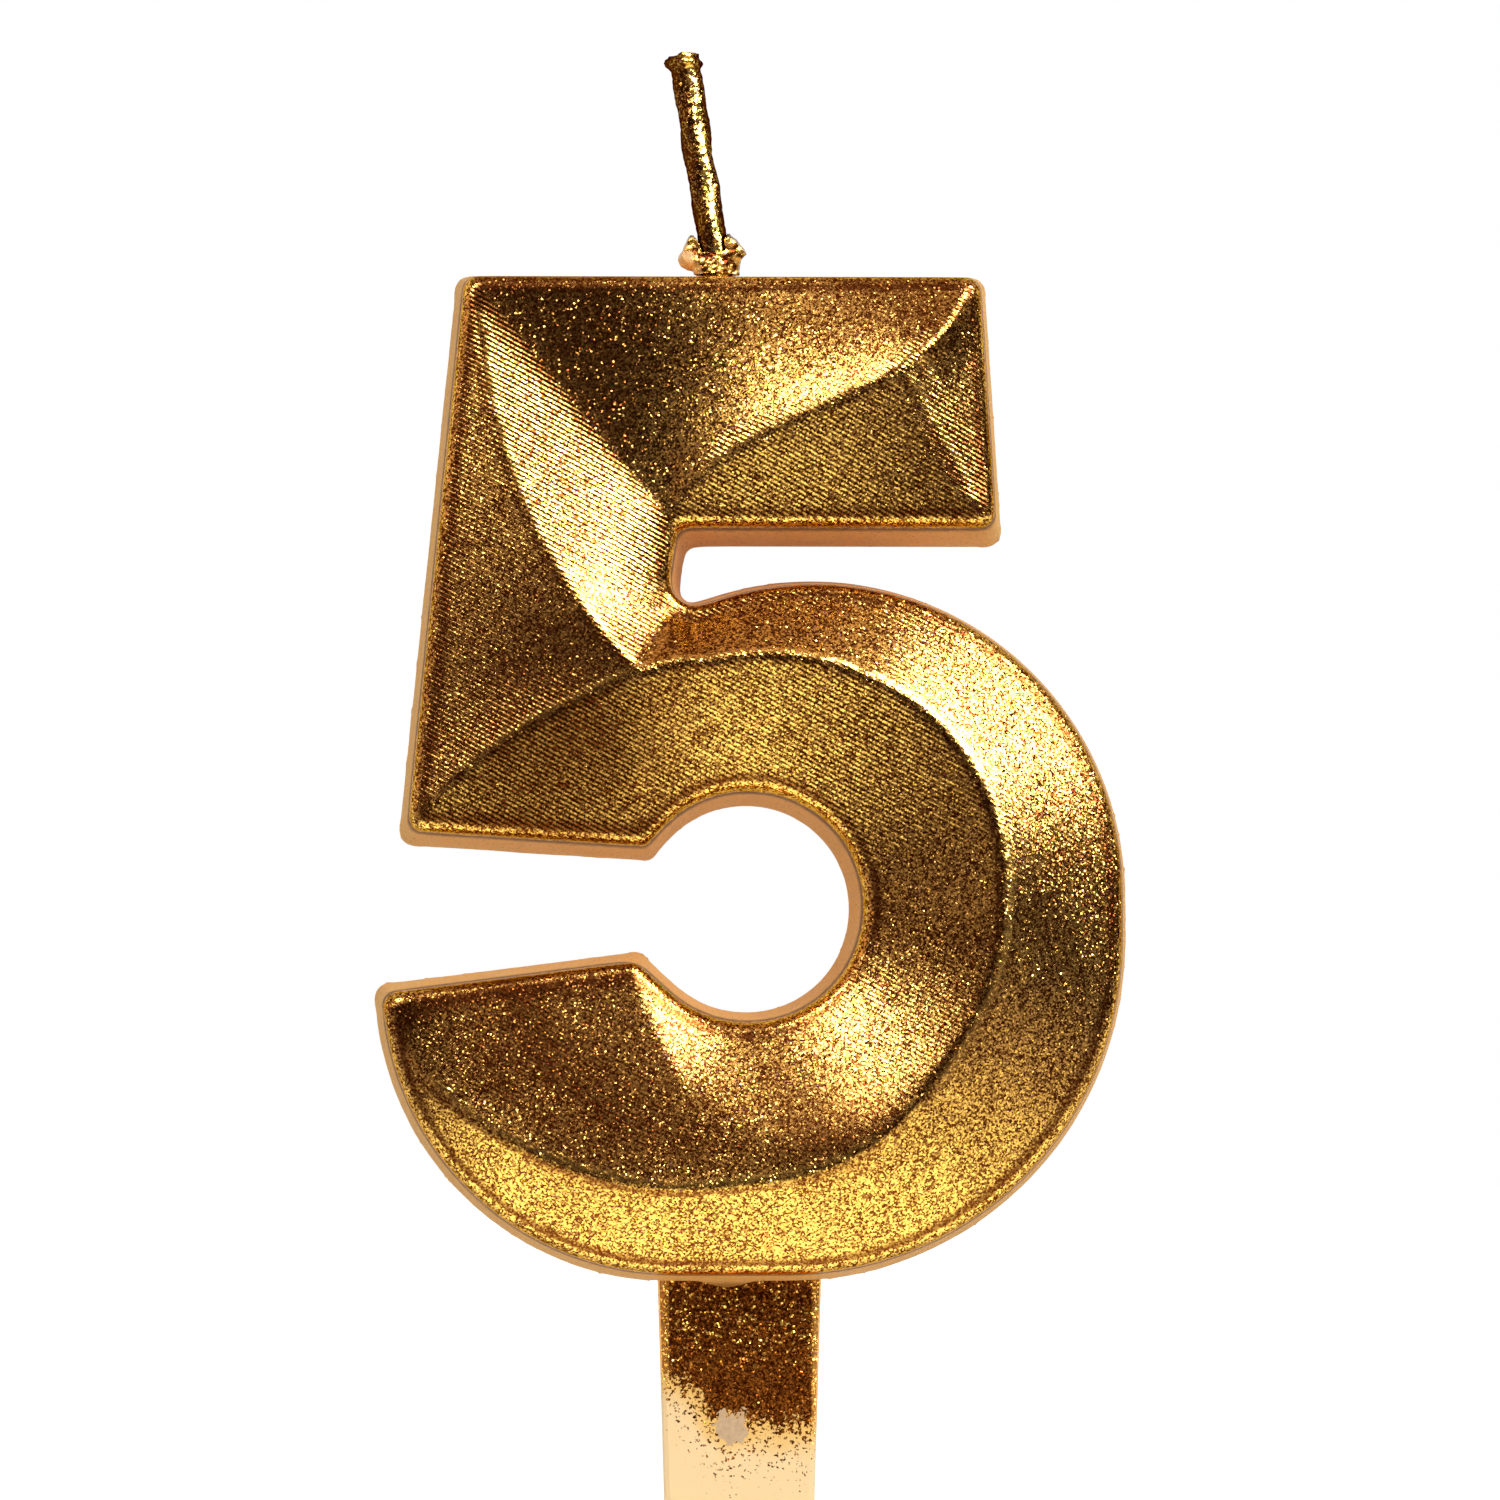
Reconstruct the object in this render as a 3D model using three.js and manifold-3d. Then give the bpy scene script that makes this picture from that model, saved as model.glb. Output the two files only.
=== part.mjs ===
// Number candle, the digit 5: a moulded wax digit with a folded, faceted front, a wick
// in a seal of wax, and a flat plastic pick that is moulded into the underside.
// Millimetres, +Z up. The faceted front faces -Y, the flat back faces +Y.
// The origin is level with the underside of the digit, on the centre line of the pick,
// in the parting plane, where the two halves of the digit meet and it is widest.
import * as THREE from "three";
import { mergeVertices } from "three/addons/utils/BufferGeometryUtils.js";
import Module from "manifold-3d";

const wasm = await Module();
wasm.setup();

// Outline of the digit in the parting plane: the top bar and the stem
const DIGIT_HEIGHT = 70;
const BAR_DEPTH = 18.9; // top edge to the underside of the bar
const BAR_END_X = 17.15; // top right corner
const BAR_END_LEAN = 3.65; // degrees, the end of the bar spreads downwards
const STEM_TOP_X = -19.75; // top left corner
const STEM_LEAN = 5.75; // degrees, the stem spreads to the left downwards
const SLOT_TOP_X = -3.7; // inner end of the slot between bar and bowl
const SLOT_LEAN = 8.5; // degrees
const FOOT_HEIGHT = 2.85; // underside of the stem, over the centre of the counter
const FOOT_TILT = 3.65; // degrees, the underside climbs to the left

// Outline of the digit in the parting plane: the bowl, its round counter and its terminal
const FLANK_X = 26.9; // the right side of the bowl
const BOWL_TOP_RADIUS = 21.9;
const BOWL_TOP_CENTRE_Z = 26.9;
const BOWL_LOWER_RADIUS = 23.6;
const BOWL_LEFT_RADIUS = 20.75;
const BOWL_LEFT_CENTRE_X = -4.6;
const COUNTER_RADIUS = 7.15;
const COUNTER_X = 0.45;
const COUNTER_Z = 25.9;
const MOUTH_TOP_ANGLE = 139; // degrees, where the counter runs straight into its mouth
const MOUTH_FOOT_ANGLE = 227;
const TERMINAL_DEPTH = 1.95; // top edge of the terminal, below the centre of the counter
const TERMINAL_TILT = 7.25; // degrees, it falls to the left

// The section of the digit through its thickness
const FRONT_DEPTH = 7.5; // parting plane to the start of the front rim
const FRONT_DRAFT = 6.5; // degrees
const RIM_RADIUS = 0.7; // rounding between the side wall and the facets
const BACK_DEPTH = 2.5; // parting plane to the flat back
const BACK_DRAFT = 6; // degrees
const BACK_RADIUS = 0.45; // rounding of the back edge
const CORNER_RADIUS = 1.05; // outer corners, seen from the front
const SLOT_RADIUS = 0.75; // inner corners of the slot
const MOUTH_RADIUS = 0.4; // corners of the counter's mouth
const FACET_CORNER_RADIUS = 0.25; // corners of the facets' own edge, inside the rim

// The folded relief of the front: its heights stand on the plane of the facets' edge
const RIDGE_HEIGHT = 3.2; // the ridge round the bowl and its peak at the stem
const BAR_PEAK_HEIGHT = 2.6;
const BAR_PEAK_SHARE = 0.72; // where the peak lies along the sweeping crease
const PEAK_ANGLE = 115; // degrees about the counter, where all ridges meet
const RIDGE_END_DISTANCE = 3.55; // from the tip of the terminal down the left arc of the bowl
const HIP_MEETS_RIDGE_ANGLE = -20;
const TERMINAL_FACET_ANGLE = -118; // where the terminal's facet meets the ridge

// The ridge round the bowl: degrees about the counter, share of the way from the counter's
// rim to the outer rim, and share of the ridge height
const RIDGE_STATIONS = [
  [PEAK_ANGLE, 0.75, 1],
  [66, 0.625, 1],
  [-5, 0.53, 1],
  [-38, 0.5, 1],
  [-72, 0.605, 1],
  [-95, 0.665, 0.95],
  [TERMINAL_FACET_ANGLE, 0.71, 0.83],
  [-138, 0.815, 0.6],
  [-160, 1, 0],
];
// The soft hip between the terminal and the inner ring: degrees, share of the way from
// the counter's rim to the ridge, and share of the ridge height
const HIP_STATIONS = [
  [HIP_MEETS_RIDGE_ANGLE, 1, 1],
  [-45, 0.945, 0.98],
  [-64, 0.87, 0.93],
  [-79, 0.74, 0.84],
  [-92, 0.575, 0.7],
  [-107, 0.38, 0.5],
  [-127, 0.13, 0.22],
  [-151, 0, 0],
];

// Handles of the curved creases. Each is a pair of shares, of two sides of the digit, that
// leads from the nearer end of the crease.
const LEFT_RIDGE_START_SHARES = [0.29, 0.085]; // shares of the stem, then of the bar
const LEFT_RIDGE_END_SHARES = [-0.205, -0.39];
const SWEEP_START_SHARES = [0.19, 0.47]; // shares of the bar's length, then of its depth
const SWEEP_END_SHARES = [-0.18, -0.58];
const FOOT_HIP_START_SHARES = [0.17, -0.07]; // shares of the way to the peak, then of the stem
const FOOT_HIP_END_SHARES = [-0.36, -0.04];

// Fineness of the facets and their creases
const SWEEP_PARTS = 25;
const LEFT_RIDGE_PARTS = 20;
const FOOT_HIP_PARTS = 14;
const VALLEY_PARTS = 12;
const BAR_HIP_PARTS = 6;
const RING_STEP = 5; // degrees between the points of the ridge
const FACET_ROWS = 3; // rows of triangles between the two edges of a facet

// The wick and the wax that seals it in its hole
const WICK_X = -1.6; // where it leaves the top edge
const WICK_DIAMETER = 2.2;
const WICK_LENGTH_ABOVE = 15.6;
const BORE_FLOOR_THICKNESS = 4.9; // wax between the wick's lower end and the underside of the bar
const WICK_TIP_OFFSET = -2.25; // the tip leans over to the left
const WICK_BEND_SHARES = [[0.33, 0.3], [0.66, 0.68], [1, 1]]; // of the height and the lean
const WICK_END_DIAMETER = 2.9; // the flared end where it was cut
const WICK_END_HEIGHT = 1.3;
const WICK_CLEARANCE = 0.3;
const SEAL_NECK_HEIGHT = 1.55;
const SEAL_WALL = 0.4; // round the wick, at the foot of the neck
const SEAL_CLEARANCE = 0.15; // round the wick
const SEAL_GAP = 0.1; // above the top edge of the digit
const SEAL_LUMP_DIAMETER = 2.6;
// The lumps of the seal: to which side of the wick each lies, then in lump diameters how far
// its centre is from that side of the wick, its place in Y, its height above the neck's
// foot, and its width, depth and height
const SEAL_LUMPS = [
  { side: -1, beyond: 0.19, y: 0.08, rise: 0.6, shape: [0.92, 1, 1] },
  { side: 1, beyond: 0.04, y: -0.08, rise: 0.77, shape: [0.88, 1, 0.8] },
  { side: 0, beyond: 0, y: 0.19, rise: 0.65, shape: [1.23, 1.12, 0.77] },
];

// The pick
const PICK_WIDTH = 11.3; // where it leaves the digit
const PICK_TAPER = 3.5; // degrees, narrowing in all
const PICK_LENGTH = 44; // underside of the digit to the point
const PICK_POINT_LENGTH = 7;
const PICK_POINT_WIDTH = 1.6;
const PICK_SHOULDER_SWELL = 1.5; // how far down the point stays nearly full width
const PICK_THICKNESS = 1.8;
const PICK_EDGE_ROUNDING = 0.4;
const TANG_LENGTH = 13; // inside the digit
const TANG_TOP_CHAMFER = 1.5;
const KEY_HOLE_DIAMETER = 4.4; // the wax runs through this hole and locks the tang
const KEY_HOLE_BELOW_TOP = 5;
const PICK_CLEARANCE = 0.3;
const LIP_MARGIN = 1.05; // from each edge of the pick to the wax that crept over its front
const LIP_DEPTH = 0.35;
const LIP_HEIGHT = 0.9; // how far up the wall its two ends reach
const LIP_THICKNESS = 0.9;
const LIP_POINT_X = -0.9;

const radians = (degrees) => (degrees * Math.PI) / 180;
const tangent = (degrees) => Math.tan(radians(degrees));
const towards = (degrees) =>
  new THREE.Vector2(Math.cos(radians(degrees)), Math.sin(radians(degrees)));

// Edges of the outline. The walk round it is clockwise as seen from the front, so that
// wax lies on the right-hand side of every edge, and an inset moves an edge into the wax.
class Straight {
  constructor(x, z, heading, parts) {
    this.point = new THREE.Vector2(x, z);
    this.heading = heading;
    this.parts = parts;
  }
  inset(distance) {
    const moved = this.point
      .clone()
      .addScaledVector(towards(this.heading - 90), distance);
    return new Straight(moved.x, moved.y, this.heading, this.parts);
  }
  headingAt() {
    return this.heading;
  }
  along(from, distance) {
    return from.clone().addScaledVector(towards(this.heading), distance);
  }
  between(from, to) {
    const points = [];
    for (let i = 0; i <= this.parts; i++)
      points.push(from.clone().lerp(to, i / this.parts));
    return points;
  }
}

// turn is -1 where the arc is walked clockwise, with wax inside it, and 1 round the counter
class Round {
  constructor(x, z, radius, turn, parts, startAngle) {
    this.centre = new THREE.Vector2(x, z);
    this.radius = radius;
    this.turn = turn;
    this.parts = parts;
    this.startAngle = startAngle;
  }
  inset(distance) {
    const radius = this.radius + this.turn * distance;
    const { centre, turn, parts, startAngle } = this;
    return new Round(centre.x, centre.y, radius, turn, parts, startAngle);
  }
  at(degrees) {
    return this.centre.clone().addScaledVector(towards(degrees), this.radius);
  }
  angleOf(point) {
    return THREE.MathUtils.radToDeg(point.clone().sub(this.centre).angle());
  }
  headingAt(point) {
    return this.angleOf(point) + this.turn * 90;
  }
  along(from, distance) {
    const swing = THREE.MathUtils.radToDeg(distance / this.radius);
    return this.at(this.angleOf(from) + this.turn * swing);
  }
  between(from, to) {
    const start = this.angleOf(from);
    const swing = (((this.angleOf(to) - start) * this.turn) % 360 + 360) % 360;
    const points = [];
    for (let i = 0; i <= this.parts; i++)
      points.push(this.at(start + (this.turn * swing * i) / this.parts));
    return points;
  }
}

// Where one edge hands over to the next: two straight runs cross, a straight run cuts
// an arc or grazes it, and two arcs about one centre meet at a stated angle.
const GRAZING_SHARE = 0.99; // of the radius: a line that misses the centre by more only grazes

function handover(before, after) {
  if (before instanceof Round && after instanceof Round)
    return after.at(after.startAngle);
  if (before instanceof Straight && after instanceof Straight) {
    const a = towards(before.heading);
    const b = towards(after.heading);
    const gap = after.point.clone().sub(before.point);
    return before.along(before.point, gap.cross(b) / a.cross(b));
  }
  const line = before instanceof Straight ? before : after;
  const arc = before instanceof Round ? before : after;
  const way = towards(line.heading);
  const gap = arc.centre.clone().sub(line.point);
  const reach = gap.dot(way);
  const miss = Math.abs(gap.cross(way));
  const grazes = miss > arc.radius * GRAZING_SHARE;
  const half = grazes ? 0 : Math.sqrt(arc.radius ** 2 - miss ** 2);
  return line.along(line.point, reach - half);
}

// The corner between two edges, rounded by an arc that starts and ends on them
const CORNER_PARTS = 4;
const HALF_CORNER = CORNER_PARTS / 2;

function corner(before, after, radius) {
  const point = handover(before, after);
  const turn = after.headingAt(point) - before.headingAt(point);
  const bend = ((((turn + 540) % 360) + 360) % 360) - 180;
  const cut = radius * tangent(Math.abs(bend) / 2);
  const start = before.along(point, -cut);
  const end = after.along(point, cut);
  const side = Math.sign(bend) * 90;
  const startHeading = before.headingAt(point);
  const centre = start.clone().addScaledVector(towards(startHeading + side), radius);
  const points = [];
  for (let i = 0; i <= CORNER_PARTS; i++) {
    const heading = startHeading + (bend * i) / CORNER_PARTS;
    points.push(centre.clone().addScaledVector(towards(heading - side), radius));
  }
  // On a curved edge the arc ends a little beside it, so the error is spread over the arc
  const error = end.clone().sub(points[CORNER_PARTS]);
  return points.map((p, i) => p.addScaledVector(error, i / CORNER_PARTS));
}

// All edges in walking order. Each names the corner or the smooth join that it starts at.
const mouthTop = MOUTH_TOP_ANGLE + 90;
const mouthFoot = MOUTH_FOOT_ANGLE + 90;
const counterRound = new Round(COUNTER_X, COUNTER_Z, COUNTER_RADIUS, 1, 54);
const lowerLipPoint = counterRound.at(MOUTH_FOOT_ANGLE);
const upperLipPoint = counterRound.at(MOUTH_TOP_ANGLE);
const barUnderside = DIGIT_HEIGHT - BAR_DEPTH;
const leftRound = new Round(
  BOWL_LEFT_CENTRE_X,
  BOWL_LEFT_RADIUS,
  BOWL_LEFT_RADIUS,
  -1,
  16,
);
const terminalTop = new Straight(COUNTER_X, COUNTER_Z - TERMINAL_DEPTH, TERMINAL_TILT, 10);
const tipPoint = handover(leftRound, terminalTop);
const ridgeEndPoint = leftRound.along(tipPoint, -RIDGE_END_DISTANCE);
const EDGES = [
  ["top_left", CORNER_RADIUS, new Straight(STEM_TOP_X, DIGIT_HEIGHT, 0, 14)],
  ["top_right", CORNER_RADIUS, new Straight(BAR_END_X, DIGIT_HEIGHT, BAR_END_LEAN - 90, 8)],
  ["bar_foot", CORNER_RADIUS, new Straight(BAR_END_X, barUnderside, 180, 10)],
  ["slot_top", SLOT_RADIUS, new Straight(SLOT_TOP_X, barUnderside, -90 - SLOT_LEAN, 3)],
  [
    "slot_foot",
    SLOT_RADIUS,
    new Round(FLANK_X - BOWL_TOP_RADIUS, BOWL_TOP_CENTRE_Z, BOWL_TOP_RADIUS, -1, 22),
  ],
  ["flank", 0, new Straight(FLANK_X, BOWL_TOP_CENTRE_Z, -90, 2)],
  [
    "lower_round",
    0,
    new Round(FLANK_X - BOWL_LOWER_RADIUS, BOWL_LOWER_RADIUS, BOWL_LOWER_RADIUS, -1, 18),
  ],
  ["underside", 0, new Straight(0, 0, 180, 4)],
  ["left_round", 0, leftRound],
  [
    "ridge_end",
    0,
    new Round(
      BOWL_LEFT_CENTRE_X,
      BOWL_LEFT_RADIUS,
      BOWL_LEFT_RADIUS,
      -1,
      2,
      leftRound.angleOf(ridgeEndPoint),
    ),
  ],
  ["tip", CORNER_RADIUS, terminalTop],
  ["mouth_foot", MOUTH_RADIUS, new Straight(lowerLipPoint.x, lowerLipPoint.y, mouthFoot, 2)],
  ["counter", 0, counterRound],
  ["mouth_top_join", 0, new Straight(upperLipPoint.x, upperLipPoint.y, mouthTop, 2)],
  [
    "mouth_top",
    MOUTH_RADIUS,
    new Straight(COUNTER_X, COUNTER_Z + FOOT_HEIGHT, 180 - FOOT_TILT, 10),
  ],
  ["stem_foot", CORNER_RADIUS, new Straight(STEM_TOP_X, DIGIT_HEIGHT, 90 - STEM_LEAN, 20)],
];

// The whole outline, inset by a distance: its points and the index of each named start
function outline(inset, cornerRadius = null) {
  const edges = EDGES.map(([, , edge]) => edge.inset(inset));
  const joins = EDGES.map(([name, radius], i) => {
    const before = edges[(i + edges.length - 1) % edges.length];
    if (radius === 0) return [handover(before, edges[i])];
    const growth = name === "slot_foot" ? inset : 0;
    return corner(before, edges[i], (cornerRadius ?? radius) + growth);
  });
  const points = [];
  const start = {};
  EDGES.forEach(([name], i) => {
    const join = joins[i];
    const next = joins[(i + 1) % joins.length];
    start[name] = points.length + (join.length > 1 ? HALF_CORNER : 0);
    points.push(...join.slice(0, -1));
    points.push(...edges[i].between(join[join.length - 1], next[0]).slice(0, -1));
  });
  return { points, start };
}

// The point of a curve at one key. Beyond its own keys the curve stays at its end.
function pointAt(points, keys, key) {
  if (key <= keys[0]) return points[0].clone();
  const i = keys.findIndex((k) => k >= key);
  if (i < 0) return points[points.length - 1].clone();
  const share = (keys[i] - key) / (keys[i] - keys[i - 1]);
  return points[i].clone().lerp(points[i - 1], share);
}

// Triangles of one closed body, gathered as strips between neighbouring curves. Both
// curves of a strip are walked clockwise, with inner on the right-hand side of outer. The
// key of a point says how far along it lies, in the same measure for both curves.
class Skin {
  constructor() {
    this.positions = [];
  }
  triangle(a, b, c) {
    if (a.equals(b) || b.equals(c) || c.equals(a)) return;
    this.positions.push(...a.toArray(), ...b.toArray(), ...c.toArray());
  }
  strip(inner, outer, innerKeys, outerKeys) {
    let i = 0;
    let o = 0;
    while (i < inner.length - 1 || o < outer.length - 1) {
      const innerNext = i < inner.length - 1 ? innerKeys[i + 1] : Infinity;
      const outerNext = o < outer.length - 1 ? outerKeys[o + 1] : Infinity;
      if (innerNext <= outerNext) {
        this.triangle(inner[i], inner[i + 1], outer[o]);
        i++;
      } else {
        this.triangle(inner[i], outer[o + 1], outer[o]);
        o++;
      }
    }
  }
  // A facet: rows of points are laid evenly between its two curves
  facet(inner, outer, keysOf) {
    const innerKeys = keysOf(inner);
    const outerKeys = keysOf(outer);
    const keys = [...innerKeys, ...outerKeys].sort((a, b) => a - b);
    const last = keys[keys.length - 1];
    const gap = (last - keys[0]) / Math.max(inner.length, outer.length) / 2;
    const rowKeys = [keys[0]];
    for (const key of keys)
      if (key - rowKeys[rowKeys.length - 1] > gap && last - key > gap) rowKeys.push(key);
    rowKeys.push(last);
    let row = inner;
    let reached = innerKeys;
    for (let i = 1; i < FACET_ROWS; i++) {
      const next = rowKeys.map((key) =>
        pointAt(inner, innerKeys, key).lerp(pointAt(outer, outerKeys, key), i / FACET_ROWS),
      );
      this.strip(row, next, reached, rowKeys);
      row = next;
      reached = rowKeys;
    }
    this.strip(row, outer, reached, outerKeys);
  }
  geometry() {
    const geometry = new THREE.BufferGeometry();
    const values = new THREE.Float32BufferAttribute(this.positions, 3);
    geometry.setAttribute("position", values);
    return geometry;
  }
}

// Levels of the side wall, from the facets' edge over the rim to the flat back
const frontInset = FRONT_DEPTH * tangent(FRONT_DRAFT);
const facetInset = frontInset + RIM_RADIUS;
const facetPlaneY = -(FRONT_DEPTH + RIM_RADIUS);
const backWallDepth = BACK_DEPTH - BACK_RADIUS;
const backInset = backWallDepth * tangent(BACK_DRAFT);

function quarter(radius, parts) {
  const steps = [];
  for (let i = 0; i <= parts; i++) {
    const angle = (i / parts) * (Math.PI / 2);
    steps.push([radius * (1 - Math.cos(angle)), radius * Math.sin(angle)]);
  }
  return steps;
}

const RIM_PARTS = 3;
const rimSteps = quarter(RIM_RADIUS, RIM_PARTS);
const facetLoop = outline(facetInset, FACET_CORNER_RADIUS);
const at = (y) => (p) => new THREE.Vector3(p.x, y, p.y);
const levels = [facetLoop.points.map(at(facetPlaneY))];
for (const [inward, forward] of rimSteps.slice(0, -1).reverse())
  levels.push(outline(frontInset + inward).points.map(at(-FRONT_DEPTH - forward)));
levels.push(outline(0).points.map(at(0)));
for (const [inward, backward] of quarter(BACK_RADIUS, 2))
  levels.push(outline(backInset + inward).points.map(at(backWallDepth + backward)));

// The facets' own edge, as runs between named corners
const facetEdge = levels[0];

function run(from, to) {
  const { start } = facetLoop;
  const first = start[from];
  const last = start[to] <= first ? start[to] + facetEdge.length : start[to];
  const points = [];
  for (let i = first; i <= last; i++) points.push(facetEdge[i % facetEdge.length]);
  return points;
}

const cornerPoint = (name) => facetEdge[facetLoop.start[name]];
const relief = (x, z, height) => new THREE.Vector3(x, facetPlaneY - height, z);

// A crease as a cubic curve in the front view, with a height that follows a rule
function crease(points, heightAt, parts) {
  const curve = new THREE.CubicBezierCurve(
    ...points.map((p) => new THREE.Vector2(p.x, p.z)),
  );
  return curve
    .getPoints(parts)
    .map((p, i) => relief(p.x, p.y, heightAt(i / parts)));
}

const handle = (from, a, b, [shareA, shareB]) =>
  from.clone().addScaledVector(a, shareA).addScaledVector(b, shareB);
const way = (from, to) => to.clone().sub(from);

// Distance from the counter's centre to a run of the facets' edge in one direction
function reach(edgeRun, degrees) {
  const direction = towards(degrees);
  const centre = new THREE.Vector2(COUNTER_X, COUNTER_Z);
  for (let i = 0; i < edgeRun.length - 1; i++) {
    const a = new THREE.Vector2(edgeRun[i].x, edgeRun[i].z).sub(centre);
    const b = new THREE.Vector2(edgeRun[i + 1].x, edgeRun[i + 1].z).sub(centre);
    const before = direction.cross(a);
    const after = direction.cross(b);
    const crosses = before * after <= 0 && a.dot(direction) > 0;
    if (crosses && before !== after)
      return a.lerp(b, before / (before - after)).dot(direction);
  }
  return null;
}

// A smooth value between stations, by the first number of each
function follow(stations, key, column) {
  const points = stations.map((s) => new THREE.Vector2(s[0], s[column]));
  let i = 0;
  while (i < points.length - 2 && key < points[i + 1].x) i++;
  const span = (points[i].x - key) / (points[i].x - points[i + 1].x);
  const curve = new THREE.SplineCurve(points);
  return curve.getPoint((i + span) / (points.length - 1)).y;
}

const innerRun = run("mouth_foot", "mouth_top");
const outerRun = run("slot_foot", "ridge_end");
const ridgeEnd = cornerPoint("ridge_end");
const aboutCounter = (point) =>
  THREE.MathUtils.radToDeg(
    Math.atan2(point.z - COUNTER_Z, point.x - COUNTER_X),
  );
const ridgeEndAngle = aboutCounter(ridgeEnd);
const slotFootAngle = aboutCounter(cornerPoint("slot_foot"));
const mouthFootPoint = cornerPoint("mouth_foot");
const mouthFootAngle = aboutCounter(mouthFootPoint);
const innerRadius = (degrees) => reach(innerRun, Math.max(degrees, mouthFootAngle + 1));

function ridgeRadius(degrees) {
  const outer = reach(outerRun, Math.min(degrees, slotFootAngle - 1));
  const share = follow(RIDGE_STATIONS, degrees, 1);
  return THREE.MathUtils.lerp(innerRadius(degrees), outer, share);
}

function ridgePoint(degrees) {
  const height = RIDGE_HEIGHT * follow(RIDGE_STATIONS, degrees, 2);
  const p = towards(degrees).multiplyScalar(ridgeRadius(degrees));
  return relief(COUNTER_X + p.x, COUNTER_Z + p.y, height);
}

function hipPoint(degrees) {
  const share = follow(HIP_STATIONS, degrees, 1);
  const height = RIDGE_HEIGHT * follow(HIP_STATIONS, degrees, 2);
  const radius = THREE.MathUtils.lerp(innerRadius(degrees), ridgeRadius(degrees), share);
  const p = towards(degrees).multiplyScalar(radius);
  return relief(COUNTER_X + p.x, COUNTER_Z + p.y, height);
}

function sweep(pointAt, from, to, step) {
  const parts = Math.ceil(Math.abs(to - from) / step);
  const points = [];
  for (let i = 0; i <= parts; i++)
    points.push(pointAt(from + ((to - from) * i) / parts));
  return points;
}

const ridgeStart = sweep(ridgePoint, PEAK_ANGLE, HIP_MEETS_RIDGE_ANGLE, RING_STEP);
const ridgeMiddle = sweep(
  ridgePoint,
  HIP_MEETS_RIDGE_ANGLE,
  TERMINAL_FACET_ANGLE,
  RING_STEP,
);
const ridgeLast = sweep(ridgePoint, TERMINAL_FACET_ANGLE, ridgeEndAngle, RING_STEP);
ridgeMiddle[0] = ridgeStart[ridgeStart.length - 1];
ridgeLast[0] = ridgeMiddle[ridgeMiddle.length - 1];
ridgeLast[ridgeLast.length - 1] = ridgeEnd;
const peak = ridgeStart[0];
const hip = sweep(hipPoint, HIP_MEETS_RIDGE_ANGLE, mouthFootAngle, RING_STEP);
hip[0] = ridgeMiddle[0];
hip[hip.length - 1] = mouthFootPoint;

// Creases of the bar and the stem, placed by the corners that they join
const topLeft = cornerPoint("top_left");
const topRight = cornerPoint("top_right");
const barFoot = cornerPoint("bar_foot");
const slotTop = cornerPoint("slot_top");
const stemFoot = cornerPoint("stem_foot");
const flatPeak = relief(peak.x, peak.z, 0);
const barAlong = way(slotTop, barFoot);
const barUp = way(barFoot, topRight);
const sweepCrease = crease(
  [
    slotTop,
    handle(slotTop, barAlong, barUp, SWEEP_START_SHARES),
    handle(topRight, barAlong, barUp, SWEEP_END_SHARES),
    topRight,
  ],
  (t) => {
    const rise = t / BAR_PEAK_SHARE;
    const fall = (1 - t) / (1 - BAR_PEAK_SHARE);
    return BAR_PEAK_HEIGHT * Math.sin((Math.PI / 2) * Math.min(rise, fall));
  },
  SWEEP_PARTS,
);
sweepCrease[0] = slotTop;
sweepCrease[sweepCrease.length - 1] = topRight;
const barPeakIndex = Math.round(BAR_PEAK_SHARE * (sweepCrease.length - 1));
const sweepToPeak = sweepCrease.slice(0, barPeakIndex + 1);
const peakToTopRight = sweepCrease.slice(barPeakIndex);
const barPeak = sweepCrease[barPeakIndex];

const linear = (from, to, parts) => {
  const points = [];
  for (let i = 0; i <= parts; i++) points.push(from.clone().lerp(to, i / parts));
  points[parts] = to;
  return points;
};
const valley = linear(topLeft, slotTop, VALLEY_PARTS);
const barHip = linear(barPeak, barFoot, BAR_HIP_PARTS);
const stemDown = way(topLeft, stemFoot);
const leftRidge = crease(
  [
    topLeft,
    handle(topLeft, stemDown, barAlong, LEFT_RIDGE_START_SHARES),
    handle(flatPeak, stemDown, barAlong, LEFT_RIDGE_END_SHARES),
    flatPeak,
  ],
  (t) => RIDGE_HEIGHT * t,
  LEFT_RIDGE_PARTS,
);
leftRidge[0] = topLeft;
leftRidge[leftRidge.length - 1] = peak;
const toPeak = way(stemFoot, flatPeak);
const footHip = crease(
  [
    stemFoot,
    handle(stemFoot, toPeak, stemDown, FOOT_HIP_START_SHARES),
    handle(flatPeak, toPeak, stemDown, FOOT_HIP_END_SHARES),
    flatPeak,
  ],
  (t) => RIDGE_HEIGHT * t,
  FOOT_HIP_PARTS,
);
footHip[0] = stemFoot;
footHip[footHip.length - 1] = peak;

const backwards = (points) => points.slice().reverse();
const joined = (...runs) =>
  runs.flatMap((points, i) => (i === 0 ? points : points.slice(1)));

// Keys along a strip: by the distance in one direction of the front view, or by the angle
// about the counter, with the turn's sign
const byDirection = (degrees) => {
  const direction = towards(degrees);
  return (points) => points.map((p) => direction.x * p.x + direction.y * p.z);
};

const byAngle = (turn) => (points) => {
  let last = aboutCounter(points[0]);
  return points.map((p) => {
    const step = aboutCounter(p) - last;
    last += step - 360 * Math.round(step / 360);
    return turn * last;
  });
};

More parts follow.
